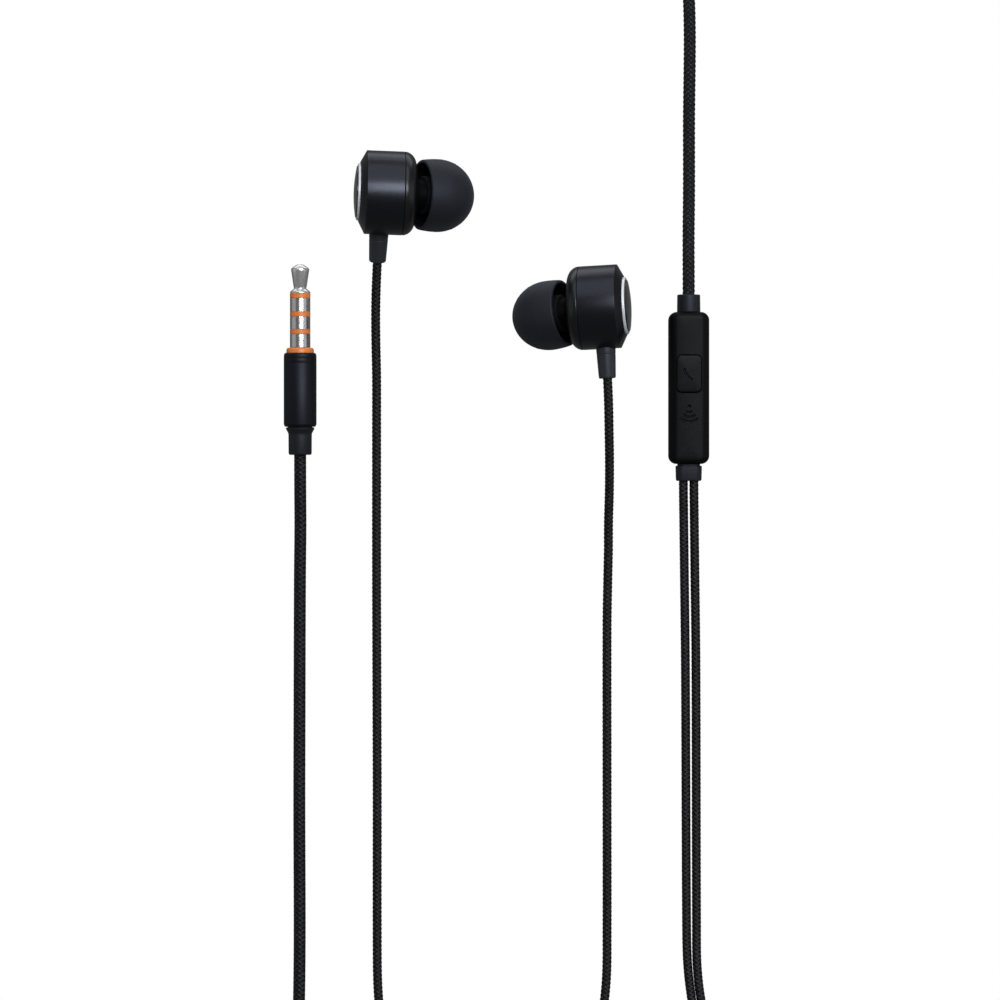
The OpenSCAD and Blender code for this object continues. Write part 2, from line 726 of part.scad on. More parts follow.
// Flat bar with round sides, standing on its end
module low_collar_slab(w, h, len) {
    translate([-(w - h) / 2, -h / 2, 0])
        cube([w - h, h, len]);
    for (x = [-1, 1])
        translate([x * (w - h) / 2, 0, 0])
            cylinder(h = len, d = h);
}

module remote_front_shell() {
    color([0.05, 0.05, 0.055])
        difference() {
            remote_block(remote_axis, remote_h);
            remote_bay();
            collar_passages();
            translate([0, button_at, remote_axis])
                linear_extrude(remote_h)
                    rounded(button_w + 2 * moving_gap, button_len + 2 * moving_gap, 0.8 + moving_gap);
            translate([0, mic_at, remote_axis])
                cylinder(h = remote_h, d = mic_hole_d);
        }
}

module remote_back_shell() {
    color([0.05, 0.05, 0.055]) {
        difference() {
            remote_block(0, remote_axis);
            remote_bay();
            collar_passages();
        }
        difference() {
            translate([0, 0, remote_wall - 0.1])
                linear_extrude(remote_axis + 0.5 - remote_wall)
                    rounded(bay_w - 2 * seat_fit, bay_len - 6, 0.5);
            translate([0, 0, remote_wall])
                linear_extrude(remote_h)
                    square([bay_w - 2 * tongue_w, bay_len], center = true);
        }
        for (y = [-7, 7])
            translate([-bay_w / 4, y - 0.5, remote_wall - 0.1])
                cube([bay_w / 2, 1, board_bottom - remote_wall + 0.1]);
    }
}

module remote_button() {
    color([0.045, 0.045, 0.05]) {
        translate([0, button_at, flange_top - 0.1])
            linear_extrude(remote_h + button_proud - flange_top + 0.1)
                rounded(button_w, button_len, 0.8);
        translate([0, button_at, flange_bottom])
            linear_extrude(flange_top - flange_bottom)
                rounded(button_w + 2 * flange_rim, button_len + 2 * flange_rim, 0.6);
        translate([0, button_at, nib_bottom])
            cylinder(h = flange_bottom - nib_bottom + 0.1, r = 0.9);
    }
}

module remote_board() {
    color([0.08, 0.3, 0.18])
        translate([-board_w / 2, -board_len / 2, board_bottom])
            cube([board_w, board_len, board_h]);
}

module switch_body() {
    color([0.8, 0.8, 0.8])
        difference() {
            translate([-switch_w / 2, button_at - switch_len / 2, board_top])
                cube([switch_w, switch_len, switch_h]);
            translate([0, button_at, board_top + 0.1])
                cylinder(h = switch_h, r = plunger_r + 0.05);
        }
}

module switch_plunger() {
    color([0.15, 0.15, 0.15])
        translate([0, button_at, board_top + switch_h - 0.3])
            cylinder(h = plunger_top - board_top - switch_h + 0.3, r = plunger_r);
}

module microphone() {
    color([0.7, 0.7, 0.7])
        translate([0, mic_at, board_top])
            cylinder(h = mic_h, d = mic_d);
}

module mic_gasket() {
    color([0.15, 0.15, 0.15])
        translate([0, mic_at, board_top + mic_h])
            difference() {
                cylinder(h = bay_top - board_top - mic_h, d = mic_d - 0.4);
                translate([0, 0, -1])
                    cylinder(h = remote_h, d = mic_hole_d + 0.4);
            }
}

module board_chips() {
    color([0.12, 0.12, 0.12]) {
        translate([-1, 7.2, board_top])
            cube([2, 1.2, 0.5]);
        translate([-1.4, -7.6, board_top])
            cube([1, 0.5, 0.45]);
        translate([0.4, -7.6, board_top])
            cube([1, 0.5, 0.45]);
        translate([-0.8, -6.6, board_top])
            cube([1.6, 0.8, 0.5]);
    }
}

module remote_top_collar() {
    color([0.06, 0.06, 0.065])
        translate([0, 0, remote_axis])
            rotate([-90, 0, 0])
                difference() {
                    union() {
                        translate([0, 0, remote_end])
                            cylinder(h = top_collar_len - 0.5, d = top_collar_d);
                        translate([0, 0, remote_end + top_collar_len - 0.5])
                            cylinder(h = 0.5, d1 = top_collar_d, d2 = top_collar_d - 0.6);
                        translate([0, 0, remote_end - remote_wall - 0.1])
                            cylinder(h = remote_wall + 0.2, d = neck_d);
                        translate([0, 0, remote_end - remote_wall - 0.05 - collar_flange_h])
                            cylinder(h = collar_flange_h, d = bay_top - remote_wall - 0.4);
                    }
                    cylinder(h = remote_len, d = cord_d + 2 * cord_fit);
                }
}

module remote_low_collar() {
    color([0.06, 0.06, 0.065])
        translate([0, 0, remote_axis])
            rotate([90, 0, 0])
                difference() {
                    union() {
                        translate([0, 0, remote_end + 0.3])
                            low_collar_slab(low_collar_w, low_collar_h, low_collar_len - 0.3);
                        translate([0, 0, remote_end - remote_wall - 0.1])
                            low_collar_slab(low_neck_w, low_neck_h, remote_wall + 0.5);
                        translate([0, 0, remote_end - remote_wall - 0.05 - collar_flange_h])
                            low_collar_slab(low_neck_w + 0.2, low_collar_h + 0.4, collar_flange_h);
                    }
                    for (x = [-1, 1])
                        translate([x * LOW_CORD_GAP, 0, 0])
                            cylinder(h = remote_len, d = thin_cord_d + 2 * cord_fit);
                }
}

// Bare conductors from the cords' ends to pads on the board
module remote_wires() {
    pad = board_len / 2 - 0.7;
    color([0.75, 0.45, 0.2]) {
        for (x = [-1.2, -0.4, 0.4, 1.2]) {
            rod([x * 0.5, remote_end - 0.6, remote_axis], [x, pad, board_top + 0.2], 0.3);
            translate([x, pad, board_top])
                cylinder(h = 0.3, r = 0.3);
            rod([sign(x) * LOW_CORD_GAP + x * 0.2, -remote_end + 0.8, remote_axis],
                [x, -pad, board_top + 0.2], 0.3);
            translate([x, -pad, board_top])
                cylinder(h = 0.3, r = 0.3);
        }
    }
}

// ---- plug, drawn along +Z from its shoulder towards the tip ----

module plug_tip() {
    color([0.78, 0.77, 0.74])
        rotate_extrude()
            polygon([[0, core_back + 1], [rod_r, core_back + 1], [rod_r, head_at], [plug_r, head_at],
                [plug_r, head_at + 0.2], [waist_d / 2, head_at + 0.8], [waist_d / 2, head_at + 0.95],
                [head_d / 2, plug_len - 1.3], [head_d / 2, plug_len - 0.8],
                [head_d / 2 - 0.9, plug_len - 0.15], [head_d / 2 - 1.1, plug_len], [0, plug_len]]);
}

// A contact or insulator: a band that shows, with a tube inside that runs back to the core
module plug_band(from, to, back, level, r) {
    inner = tube_in(level);
    rotate_extrude()
        polygon([[inner, back], [inner + tube_wall, back], [inner + tube_wall, from], [r, from], [r, to],
            [inner, to]]);
}

module plug_rings() {
    color([0.78, 0.77, 0.74]) {
        plug_band(ring_front_at, ring_front_at + ring_front_len, core_back + 1.8, 1, plug_r);
        plug_band(ring_rear_at, ring_rear_at + ring_rear_len, core_back + 2.6, 3, plug_r);
    }
}

module plug_insulators() {
    color([0.9, 0.35, 0.1]) {
        plug_band(insulator_front_at, head_at, core_back + 1.4, 0, plug_r);
        plug_band(insulator_mid_at, ring_front_at, core_back + 2.2, 2, plug_r);
        plug_band(sleeve_len, ring_rear_at, core_back + 3, 4, plug_r);
    }
}

module plug_sleeve() {
    color([0.78, 0.77, 0.74])
        rotate_extrude()
            polygon([[tube_in(5), core_back + 3.4], [sleeve_root_r, core_back + 3.4], [sleeve_root_r, 0],
                [plug_r, 0], [plug_r, sleeve_len], [tube_in(5), sleeve_len]]);
}

module plug_core() {
    color([0.9, 0.35, 0.1])
        difference() {
            rotate_extrude()
                polygon(concat([[0, core_back], [core_r - seat_fit, core_back],
                    [core_r - seat_fit, barrel_front], [plug_collar_d / 2, barrel_front]],
                    bow(plug_collar_d / 2 - 0.5, -0.4, 0.5, 0.4, 0, 90, 5), [[0, 0]]));
            translate([0, 0, core_back + 1.2])
                cylinder(h = plug_len, r = sleeve_root_r + pole_fit);
            translate([0, 0, core_back - 1])
                cylinder(h = plug_len, r = 0.9);
        }
}

module plug_barrel() {
    color([0.05, 0.055, 0.065])
        rotate_extrude()
            polygon([[core_r, barrel_front], [plug_barrel_d / 2 - 0.3, barrel_front],
                [plug_barrel_d / 2, barrel_front - 0.4], [plug_barrel_d / 2, barrel_back + 0.1],
                [plug_barrel_d / 2 - 0.1, barrel_back], [core_r, barrel_back]]);
}

module plug_tail() {
    spigot_r = core_r - seat_fit;
    color([0.06, 0.06, 0.065])
        difference() {
            rotate_extrude()
                polygon([[0, tail_back], [plug_tail_d / 2 - 0.2, tail_back],
                    [plug_tail_d / 2, tail_back + 0.25], [plug_tail_d / 2, tail_front - 1.2],
                    [plug_barrel_d / 2 - 0.2, tail_front - 0.15],
                    [plug_barrel_d / 2 - 0.3, tail_front], [spigot_r, tail_front],
                    [spigot_r, barrel_back + 2.5], [0, barrel_back + 2.5]]);
            translate([0, 0, tail_back - 1])
                cylinder(h = plug_barrel_len + plug_tail_len, d = cord_d + 2 * cord_fit);
        }
}

// ---- cords ----

// Outer shape of a coil: half its turns lie on the surface, the other half on top of them
module coil_ring(middle, turns, mean_r, d) {
    spread = (turns / 2 + 1) * d;
    translate([middle.x, middle.y, tie_h])
        rotate_extrude()
            translate([mean_r - spread / 2, 0])
                square([spread, 2 * d]);
}

module coil_tie(middle, turns, mean_r, d, angle) {
    spread = (turns / 2 + 1) * d + TIE_SLACK;
    translate([middle.x, middle.y, 0])
        rotate([0, 0, angle])
            translate([mean_r, 0, 0])
                difference() {
                    translate([-spread / 2 - tie_h, -tie_w / 2, 0])
                        cube([spread + 2 * tie_h, tie_w, 2 * d + 2 * tie_h]);
                    translate([-spread / 2, -tie_w, tie_h])
                        cube([spread, 2 * tie_w, 2 * d]);
                }
}

module main_cord() {
    color([0.08, 0.08, 0.085]) {
        cord_tube(main_route_a, cord_d);
        cord_tube(main_route_b, cord_d);
    }
}

module left_cord() {
    color([0.08, 0.08, 0.085]) {
        cord_tube(concat(cord_root("left"), left_route_a), thin_cord_d);
        cord_tube(left_route_b, thin_cord_d);
    }
}

module right_cord() {
    color([0.08, 0.08, 0.085]) {
        cord_tube(concat(cord_root("right"), right_route_a), thin_cord_d);
        cord_tube(right_route_b, thin_cord_d);
    }
}

module main_coil() {
    color([0.1, 0.1, 0.105])
        coil_ring(MAIN_COIL, MAIN_TURNS, MAIN_COIL_R, cord_d);
}

module left_coil() {
    color([0.1, 0.1, 0.105])
        coil_ring(LEFT_COIL, LEFT_TURNS, THIN_COIL_R, thin_cord_d);
}

module right_coil() {
    color([0.1, 0.1, 0.105])
        coil_ring(RIGHT_COIL, RIGHT_TURNS, THIN_COIL_R, thin_cord_d);
}

module cord_ties() {
    color([0.15, 0.15, 0.155]) {
        coil_tie(MAIN_COIL, MAIN_TURNS, MAIN_COIL_R, cord_d, 60);
        coil_tie(LEFT_COIL, LEFT_TURNS, THIN_COIL_R, thin_cord_d, 60);
        coil_tie(RIGHT_COIL, RIGHT_TURNS, THIN_COIL_R, thin_cord_d, 90);
    }
}

module at_remote() {
    translate([REMOTE_AT.x, REMOTE_AT.y, 0])
        children();
}

module at_plug() {
    translate([PLUG_AT.x, PLUG_AT.y, plug_axis])
        rotate([-90, 0, 0])
            children();
}

for (side = SIDES, name = BUD_NODES)
    bud_piece(name, side);
at_remote() remote_front_shell();
at_remote() remote_back_shell();
at_remote() remote_button();
at_remote() remote_board();
at_remote() switch_body();
at_remote() switch_plunger();
at_remote() microphone();
at_remote() mic_gasket();
at_remote() board_chips();
at_remote() remote_top_collar();
at_remote() remote_low_collar();
at_remote() remote_wires();
at_plug() plug_tip();
at_plug() plug_rings();
at_plug() plug_sleeve();
at_plug() plug_insulators();
at_plug() plug_core();
at_plug() plug_barrel();
at_plug() plug_tail();
main_cord();
left_cord();
right_cord();
main_coil();
left_coil();
right_coil();
cord_ties();
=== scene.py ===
"""Wired in-ear earphones: finishes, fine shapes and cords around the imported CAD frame."""

import json
import logging
import math
from contextlib import contextmanager
from dataclasses import dataclass, field
from enum import Enum
from typing import Callable, Iterator, Sequence

import bmesh
import bpy
from mathutils import Matrix, Vector


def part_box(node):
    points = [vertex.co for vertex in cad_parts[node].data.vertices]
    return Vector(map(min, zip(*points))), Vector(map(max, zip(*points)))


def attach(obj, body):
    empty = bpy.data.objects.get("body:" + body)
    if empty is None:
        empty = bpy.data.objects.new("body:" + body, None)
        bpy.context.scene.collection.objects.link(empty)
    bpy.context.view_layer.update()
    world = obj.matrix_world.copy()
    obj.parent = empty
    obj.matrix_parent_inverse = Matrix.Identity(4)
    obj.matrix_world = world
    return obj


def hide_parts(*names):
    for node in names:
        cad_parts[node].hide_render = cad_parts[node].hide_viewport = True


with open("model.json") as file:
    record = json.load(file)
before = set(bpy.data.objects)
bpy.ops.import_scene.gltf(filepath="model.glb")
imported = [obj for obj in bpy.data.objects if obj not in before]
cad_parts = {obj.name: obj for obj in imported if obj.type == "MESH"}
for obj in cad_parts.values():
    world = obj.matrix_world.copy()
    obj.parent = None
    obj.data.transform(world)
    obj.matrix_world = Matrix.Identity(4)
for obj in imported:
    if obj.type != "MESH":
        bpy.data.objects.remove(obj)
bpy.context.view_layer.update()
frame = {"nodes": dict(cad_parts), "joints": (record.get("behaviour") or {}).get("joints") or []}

LOG = logging.getLogger("earphones")
MM = 0.001
UP = Vector((0, 0, 1))
ON_AXIS = 1e-6
WELD = 1e-7
CRISP_DEG = 35.0
GROWN_DEG = 50.0
TINY = 1e-10
Colour = tuple[float, ...]
Profile = list[tuple[float, float]]
Faces = list[tuple[int, ...]]
Piece = bpy.types.Object
Material = bpy.types.Material
Finishes = dict[str, Material]
COOL: Colour = (0.78, 0.83, 1.0, 1.0)


class Side(Enum):
    """Which ear a bud belongs to."""

    LEFT = "left"
    RIGHT = "right"


# ---------------------------------------------------------------- node trees


def operator(operation: str, swapped: bool = False) -> Callable[..., "Wire"]:
    """Makes a method that adds one Math node over a wire and its operands.

    Args:
        operation: What the node does.
        swapped: Whether the operand comes first.

    Returns:
        The method.
    """
    def method(self: "Wire", *others: "Wire | float") -> "Wire":
        """Adds the node."""
        values = (*others, self) if swapped else (self, *others)
        return self.tree.node("Math", dict(enumerate(values)), operation=operation)
    return method


class Wire:
    """One output of a node, with arithmetic that adds Math nodes to its tree."""

    __add__ = operator("ADD")
    __radd__ = operator("ADD")
    __sub__ = operator("SUBTRACT")
    __rsub__ = operator("SUBTRACT", swapped=True)
    __mul__ = operator("MULTIPLY")
    __truediv__ = operator("DIVIDE")
    __pow__ = operator("POWER")
    sin = operator("SINE")
    cos = operator("COSINE")
    root = operator("SQRT")
    above = operator("GREATER_THAN")
    largest = operator("MAXIMUM")

    def __init__(self, tree: "Nodes", socket: bpy.types.NodeSocket) -> None:
        """Keeps the socket and the tree it belongs to."""
        self.tree, self.socket = tree, socket

    def ramp(self, low: float, high: float) -> "Wire":
        """0 up to low, 1 from high, smooth between."""
        inputs = {"Value": self, "From Min": low, "From Max": high}
        return self.tree.node("MapRange", inputs, interpolation_type="SMOOTHSTEP")

    def parts(self) -> "list[Wire]":
        """The X, Y and Z of a vector."""
        split = self.tree.node("SeparateXYZ", {0: self}).socket.node
        return [Wire(self.tree, output) for output in split.outputs]


class Nodes:
    """A node tree that is built one node at a time."""

    def __init__(self, tree: bpy.types.NodeTree) -> None:
        """Keeps the tree."""
        self.tree = tree

    def node(self, kind: str, inputs: dict, output: "int | str" = 0, **settings: object) -> Wire:
        """Adds one node.

        Args:
            kind: The node's type, where a shader node's goes without its prefix.
            inputs: Values or wires for its sockets, by name or number.
            output: The socket to return, by name or number.
            settings: Values of the node itself, which are set first.

        Returns:
            The chosen output.
        """
        made = self.tree.nodes.new(kind if kind.startswith("Geometry") else "ShaderNode" + kind)
        for name, value in settings.items():
            setattr(made, name, value)
        for name, value in inputs.items():
            self.feed(made.inputs[name], value)
        return Wire(self, made.outputs[output])

    def feed(self, socket: bpy.types.NodeSocket, value: object) -> None:
        """Links a wire to the socket, or sets a plain value on it."""
        if isinstance(value, Wire):
            self.tree.links.new(value.socket, socket)
        else:
            socket.default_value = value


class Shader(Nodes):
    """A material's node tree around its Principled shader."""

    def __init__(self, name: str) -> None:
        """Makes the material and finds its shader."""
        self.material = bpy.data.materials.new(name)
        self.material.use_nodes = True
        super().__init__(self.material.node_tree)
        self.principled = self.tree.nodes["Principled BSDF"]

    def set(self, **inputs: object) -> None:
        """Feeds the Principled shader; an underscore stands for a space in a socket's name."""
        for name, value in inputs.items():
            self.feed(self.principled.inputs[name.replace("_", " ")], value)

    def place(self, per_mm: float = 1.0, stretch: Sequence[float] = (1, 1, 1)) -> Wire:
        """Object coordinates in millimetres, times a scale and a stretch."""
        spot = self.node("TexCoord", {}, "Object")
        return self.node("Mapping", {"Vector": spot, "Scale": [per_mm / MM * share for share in stretch]})

    def noise(self, per_mm: float, detail: float, stretch: Sequence[float] = (1, 1, 1)) -> Wire:
        """Noise of about per_mm bumps in a millimetre, centred on a half."""
        where = self.place(per_mm, stretch)
        return self.node("TexNoise", {"Vector": where, "Scale": 1.0, "Detail": detail}, "Fac")

    def shade(self, mask: Wire, low: Colour, high: Colour) -> Wire:
        """A colour between low and high by the mask."""
        return self.node("Mix", {0: mask, 6: (*low[:3], 1.0), 7: (*high[:3], 1.0)}, 2, data_type="RGBA")

    def bump(self, height: Wire, depth_mm: float) -> None:
        """Feeds a bump of that depth to the shader's normal."""
        inputs = {"Height": height, "Distance": depth_mm * MM, "Strength": 1.0}
        self.set(Normal=self.node("Bump", inputs))


class Growth(Nodes):
    """A Geometry Nodes tree with named inputs, which is grown once and baked to a plain mesh."""

    def __init__(self, name: str) -> None:
        """Makes an empty tree with one geometry output."""
        super().__init__(bpy.data.node_groups.new(name, "GeometryNodeTree"))
        self.name = name
        self.tree.interface.new_socket("Geometry", in_out="OUTPUT", socket_type="NodeSocketGeometry")
        self.inputs = self.tree.nodes.new("NodeGroupInput")
        self.values: dict[str, float] = {}

    def number(self, name: str, value: float) -> Wire:
        """Adds a named input with its value."""
        kind = "NodeSocketInt" if isinstance(value, int) else "NodeSocketFloat"
        socket = self.tree.interface.new_socket(name, in_out="INPUT", socket_type=kind)
        self.values[socket.identifier] = value
        return Wire(self, self.inputs.outputs[name])

    def vector(self, **parts: Wire) -> Wire:
        """A vector from its named parts."""
        return self.node("CombineXYZ", parts)

    def lines(self, row: Wire, start: float, count: int) -> list[Wire]:
        """Puts a line along X, which ends at 1, on each point of a row.

        Args:
            row: The points.
            start: X of the line's other end.
            count: Points in a line.

        Returns:
            The lines, and the X and Y of their points.
        """
        line = self.node("GeometryNodeCurvePrimitiveLine", {"Start": (start, 0, 0), "End": (1, 0, 0)})
        fine = self.node("GeometryNodeResampleCurve", {"Curve": line, "Count": count})
        placed = self.node("GeometryNodeInstanceOnPoints", {"Points": row, "Instance": fine})
        real = self.node("GeometryNodeRealizeInstances", {"Geometry": placed})
        return [real, *self.node("GeometryNodeInputPosition", {}).parts()[:2]]

    def rods(self, lines: Wire, spot: Wire, radius: "Wire | float", sides: int) -> Wire:
        """Bends lines to new positions and thickens them to closed round rods."""
        bent = self.node("GeometryNodeSetPosition", {"Geometry": lines, "Position": spot})
        ring = self.node("GeometryNodeCurvePrimitiveCircle", {"Resolution": sides, "Radius": radius})
        return self.node("GeometryNodeCurveToMesh", {"Curve": bent, "Profile Curve": ring, "Fill Caps": True})

    def grow(self, geometry: Wire, finish: Material) -> Piece:
        """Ends the tree, runs it and keeps the result as a plain mesh.

        Args:
            geometry: What the tree makes.
            finish: Its material.

        Returns:
            The piece, with its modifier gone.
        """
        real = self.node("GeometryNodeRealizeInstances", {"Geometry": geometry})
        dressed = self.node("GeometryNodeSetMaterial", {"Geometry": real, "Material": finish})
        self.feed(self.tree.nodes.new("NodeGroupOutput").inputs[0], dressed)
        piece = add_object(self.name, bpy.data.meshes.new(self.name))
        growth = piece.modifiers.new("growth", "NODES")
        growth.node_group = self.tree
        for identifier, value in self.values.items():
            growth[identifier] = value
        bake(piece, growth, GROWN_DEG)
        made = piece.data
        made.polygons.foreach_set("material_index", [0] * len(made.polygons))
        made.materials.clear()
        made.materials.append(finish)
        return piece


# ---------------------------------------------------------------- finishes


def grey(value: float, blue: float = 0.0) -> Colour:
    """A near-neutral colour, a little bluer by that share."""
    return (value * (1 - blue / 3), value * (1 - blue / 12), value * (1 + blue), 1.0)


def dim(colour: Colour, share: float) -> Colour:
    """A colour times a share."""
    return tuple(min(1.0, value * share) for value in colour[:3])


@dataclass(frozen=True)
class Surface:
    """Plastic, rubber, coat or metal: a fine grain and broad clouds vary its colour, gloss and height.

    Grain and cloud are bumps in a millimetre and detail. Waves are their shares in the roughness.
    """

    name: str
    colour: Colour
    roughness: float
    depth: float = 0.004
    specular: float = 0.5
    metallic: float = 0.0
    coat: float = 0.0
    sheen: float = 0.0
    grain: tuple[float, float] = (5.0, 4.0)
    cloud: tuple[float, float] | None = None
    stretch: tuple[float, float, float] = (1, 1, 1)
    shades: tuple[float, float] = (0.75, 1.0)
    waves: tuple[float, float] = (0.2, 0.0)
    clouded: bool = False
    fixed: dict[str, object] = field(default_factory=dict)

    def make(self) -> Material:
        """Builds the material."""
        shader = Shader(self.name)
        grain = shader.noise(*self.grain, self.stretch)
        cloud = shader.noise(*self.cloud) if self.cloud else grain
        rough = self.roughness + (grain - 0.5) * self.waves[0]
        if self.waves[1]:
            rough = rough + (cloud - 0.5) * self.waves[1]
        dark, light = (dim(self.colour, share) for share in self.shades)
        shader.set(Base_Color=shader.shade(cloud if self.clouded else grain, dark, light), Roughness=rough,
                   Metallic=self.metallic, Specular_IOR_Level=self.specular, Coat_Weight=self.coat,
                   Sheen_Weight=self.sheen, **self.fixed)
        shader.bump(grain, self.depth)
        return shader.material


SATIN = {"grain": (14.0, 3.0), "cloud": (0.5, 2.0), "shades": (0.88, 1.15), "waves": (0.1, 0.05),
         "fixed": {"IOR": 1.5, "Specular_Tint": COOL}}
PLASTIC = {"cloud": (0.35, 2.0), "shades": (0.85, 1.2), "waves": (0.12, 0.08), "fixed": {"IOR": 1.48}}
SILICONE = {"grain": (6.0, 4.0), "cloud": (0.4, 3.0), "shades": (0.9, 1.15), "waves": (0.12, 0.0),
            "clouded": True, "depth": 0.006,
            "fixed": {"IOR": 1.42, "Specular_Tint": COOL, "Sheen_Roughness": 0.5,
                      "Sheen_Tint": (0.76, 0.73, 0.88, 1.0)}}
TURNED = {"grain": (7.0, 3.0), "cloud": (0.8, 2.0), "shades": (0.82, 1.0), "waves": (0.12, 0.08),
          "clouded": True, "stretch": (0.15, 1.0, 0.15)}
GLOSS = {"grain": (8.0, 2.0), "cloud": (0.7, 3.0), "shades": (0.85, 1.0), "waves": (0.06, 0.0),
         "clouded": True, "depth": 0.002, "fixed": {"IOR": 1.5, "Coat_Roughness": 0.08}}


@dataclass(frozen=True)
class BraidedSleeve:
    """Textile braid of a cord: yarns that cross in rows of chevrons, read from the piece's own UV map."""

    name: str
    pitch: float
    rows: int
    # The base colour runs from dark in the yarn crossings, painted shade, to light on the yarn crowns, a
    # painted highlight.
    dark: Colour = (0.0012, 0.0012, 0.0014)
    light: Colour = (0.064, 0.06, 0.064)

    def make(self) -> Material:
        """Builds the material. U counts millimetres along the cord, V runs once round it."""
        shader = Shader(self.name)
        along, around, _ = shader.node("UVMap", {}).parts()
        u, v = along / self.pitch, around * self.rows
        right, left, ahead, across = [
            (wire * (2 * math.pi) + math.pi / 2).sin() for wire in (u + v, u - v, u, v)]
        over = (ahead + across).above(0.0)
        yarn = right * over + left * (1 - over)
        height = (yarn * 0.5 + 0.5) ** 0.6
        thread = shader.noise(16.0, 3.0)
        # Painted light and shade: the yarn crowns are painted lighter as a highlight and the crossings darker
        # as shade, following the yarns' height; the thread and fleck noise add real random tone.
        painted_yarn_light = (height * 0.8 + thread * 0.4).ramp(0.8, 1.18)
        fleck = shader.noise(1.4, 1.0).ramp(0.42, 0.62)
        shader.set(Base_Color=shader.shade(painted_yarn_light * (fleck * 0.75 + 0.25), self.dark, self.light),
                   Roughness=0.42 + (1 - height) * 0.4, Specular_IOR_Level=0.3)
        shader.bump(height + thread * 0.35, 0.1)
        return shader.material


@dataclass(frozen=True)
class WovenFabric:
    """Plain weave or felt on straps, foams and dampers."""

    name: str
    colour: Colour
    per_mm: float = 2.2

    def make(self) -> Material:
        """Builds the material."""
        shader = Shader(self.name)
        across, along = [(side * (self.per_mm * 2 * math.pi)).sin() for side in shader.place().parts()[:2]]
        weave = across * along * 0.5 + 0.5
        fuzz = shader.noise(12.0, 4.0)
        mask = weave * 0.6 + fuzz * 0.4
        shader.set(Base_Color=shader.shade(mask, self.colour, dim(self.colour, 2.2)), Roughness=0.85,
                   Sheen_Weight=0.3)
        shader.bump(weave + fuzz * 0.6, 0.05)
        return shader.material


@dataclass(frozen=True)
class CircuitBoard:
    """Green solder mask over faint copper tracks."""

    name: str = "circuit_board"

    def make(self) -> Material:
        """Builds the material."""
        shader = Shader(self.name)
        tracks = shader.noise(1.2, 0.0, (1.0, 0.3, 1.0)).ramp(0.48, 0.52)
        shader.set(Base_Color=shader.shade(tracks, (0.012, 0.09, 0.035), (0.03, 0.2, 0.07)),
                   Roughness=0.28 + tracks * 0.08)
        shader.bump(tracks, 0.02)
        return shader.material


def make_finishes() -> Finishes:
    """Builds every finish of the earphones once, by name."""
    rows = [
        Surface("satin_coat", grey(0.003, 0.2), 0.3, 0.006, **SATIN),
        Surface("barrel_coat", grey(0.004, 0.3), 0.44, 0.008, 0.27, **SATIN),
        BraidedSleeve("thick_braid", 0.82, 5), BraidedSleeve("thin_braid", 0.72, 4),
        WovenFabric("foam", (0.02, 0.02, 0.02)), WovenFabric("felt", (0.05, 0.05, 0.05)),
        WovenFabric("strap", (0.008, 0.008, 0.009)), CircuitBoard()]
    rows += [Surface(name, grey(value, 0.08), roughness, depth, specular, grain=(per_mm, 4.0), **PLASTIC)
             for name, value, roughness, per_mm, depth, specular in (
                 ("front_shell_plastic", 0.004, 0.3, 10.0, 0.004, 0.5),
                 # The nozzle's plastic is a darker, rougher copy of the front shell's: painted shade on the
                 # nozzle, which sits in the tip's hollow.
                 ("nozzle_plastic_painted_shade", 0.002, 0.6, 10.0, 0.004, 0.08),
                 ("remote_plastic", 0.0025, 0.4, 9.0, 0.008, 0.1),
                 ("button_plastic", 0.0025, 0.38, 9.0, 0.006, 0.1),
                 ("chip_plastic", 0.02, 0.5, 9.0, 0.008, 0.5))]
    rows += [Surface(name, grey(value, blue), roughness, sheen=sheen, **SILICONE)
             for name, value, blue, roughness, sheen in (
                 # The second row is a darker, matt copy of the tip silicone: painted shade for the tip's
                 # hollow.
                 ("tip_silicone", 0.008, 0.3, 0.6, 0.08), ("tip_hollow_painted_shade", 0.002, 0.1, 0.7, 0.01),
                 ("relief_rubber", 0.024, 0.14, 0.42, 0.08), ("collar_rubber", 0.008, 0.1, 0.5, 0.04))]
    rows += [Surface(name, colour, roughness, metallic=metallic, **TURNED)
             for name, colour, roughness, metallic in (
                 ("bright_ring", (0.92, 0.93, 0.96), 0.42, 0.25),
                 ("point_nickel", (0.86, 0.83, 0.81), 0.26, 0.84),
                 ("contact_nickel", (0.78, 0.75, 0.74), 0.24, 1.0))]
    rows += [Surface(name, colour, roughness, coat=coat, **GLOSS)
             for name, colour, roughness, coat in (
                 ("plate_gloss", (0.008, 0.008, 0.01), 0.12, 0.3),
                 ("orange_plastic", (0.9, 0.25, 0.05), 0.35, 0.1),
                 ("film", (0.42, 0.3, 0.16), 0.25, 0.3))]
    rows += [Surface(name, colour, roughness, metallic=1.0) for name, colour, roughness in (
        ("mesh_steel", (0.55, 0.55, 0.56), 0.3), ("frame_metal", (0.62, 0.62, 0.6), 0.35),
        ("iron", (0.42, 0.42, 0.42), 0.35), ("magnet_nickel", (0.6, 0.6, 0.62), 0.2),
        ("copper", (0.75, 0.38, 0.2), 0.3))]
    return {row.name: row.make() for row in rows}


# ---------------------------------------------------------------- mesh helpers


def add_object(name: str, data: bpy.types.ID) -> Piece:
    """Puts a mesh, light or camera into the scene as an object of that name."""
    made = bpy.data.objects.new(name, data)
    bpy.context.scene.collection.objects.link(made)
    return made


@contextmanager
def edited(mesh: bpy.types.Mesh) -> Iterator[bmesh.types.BMesh]:
    """Opens a mesh for editing and writes it back at the end."""
    work = bmesh.new()
    work.from_mesh(mesh)
    yield work
    work.to_mesh(mesh)
    work.free()


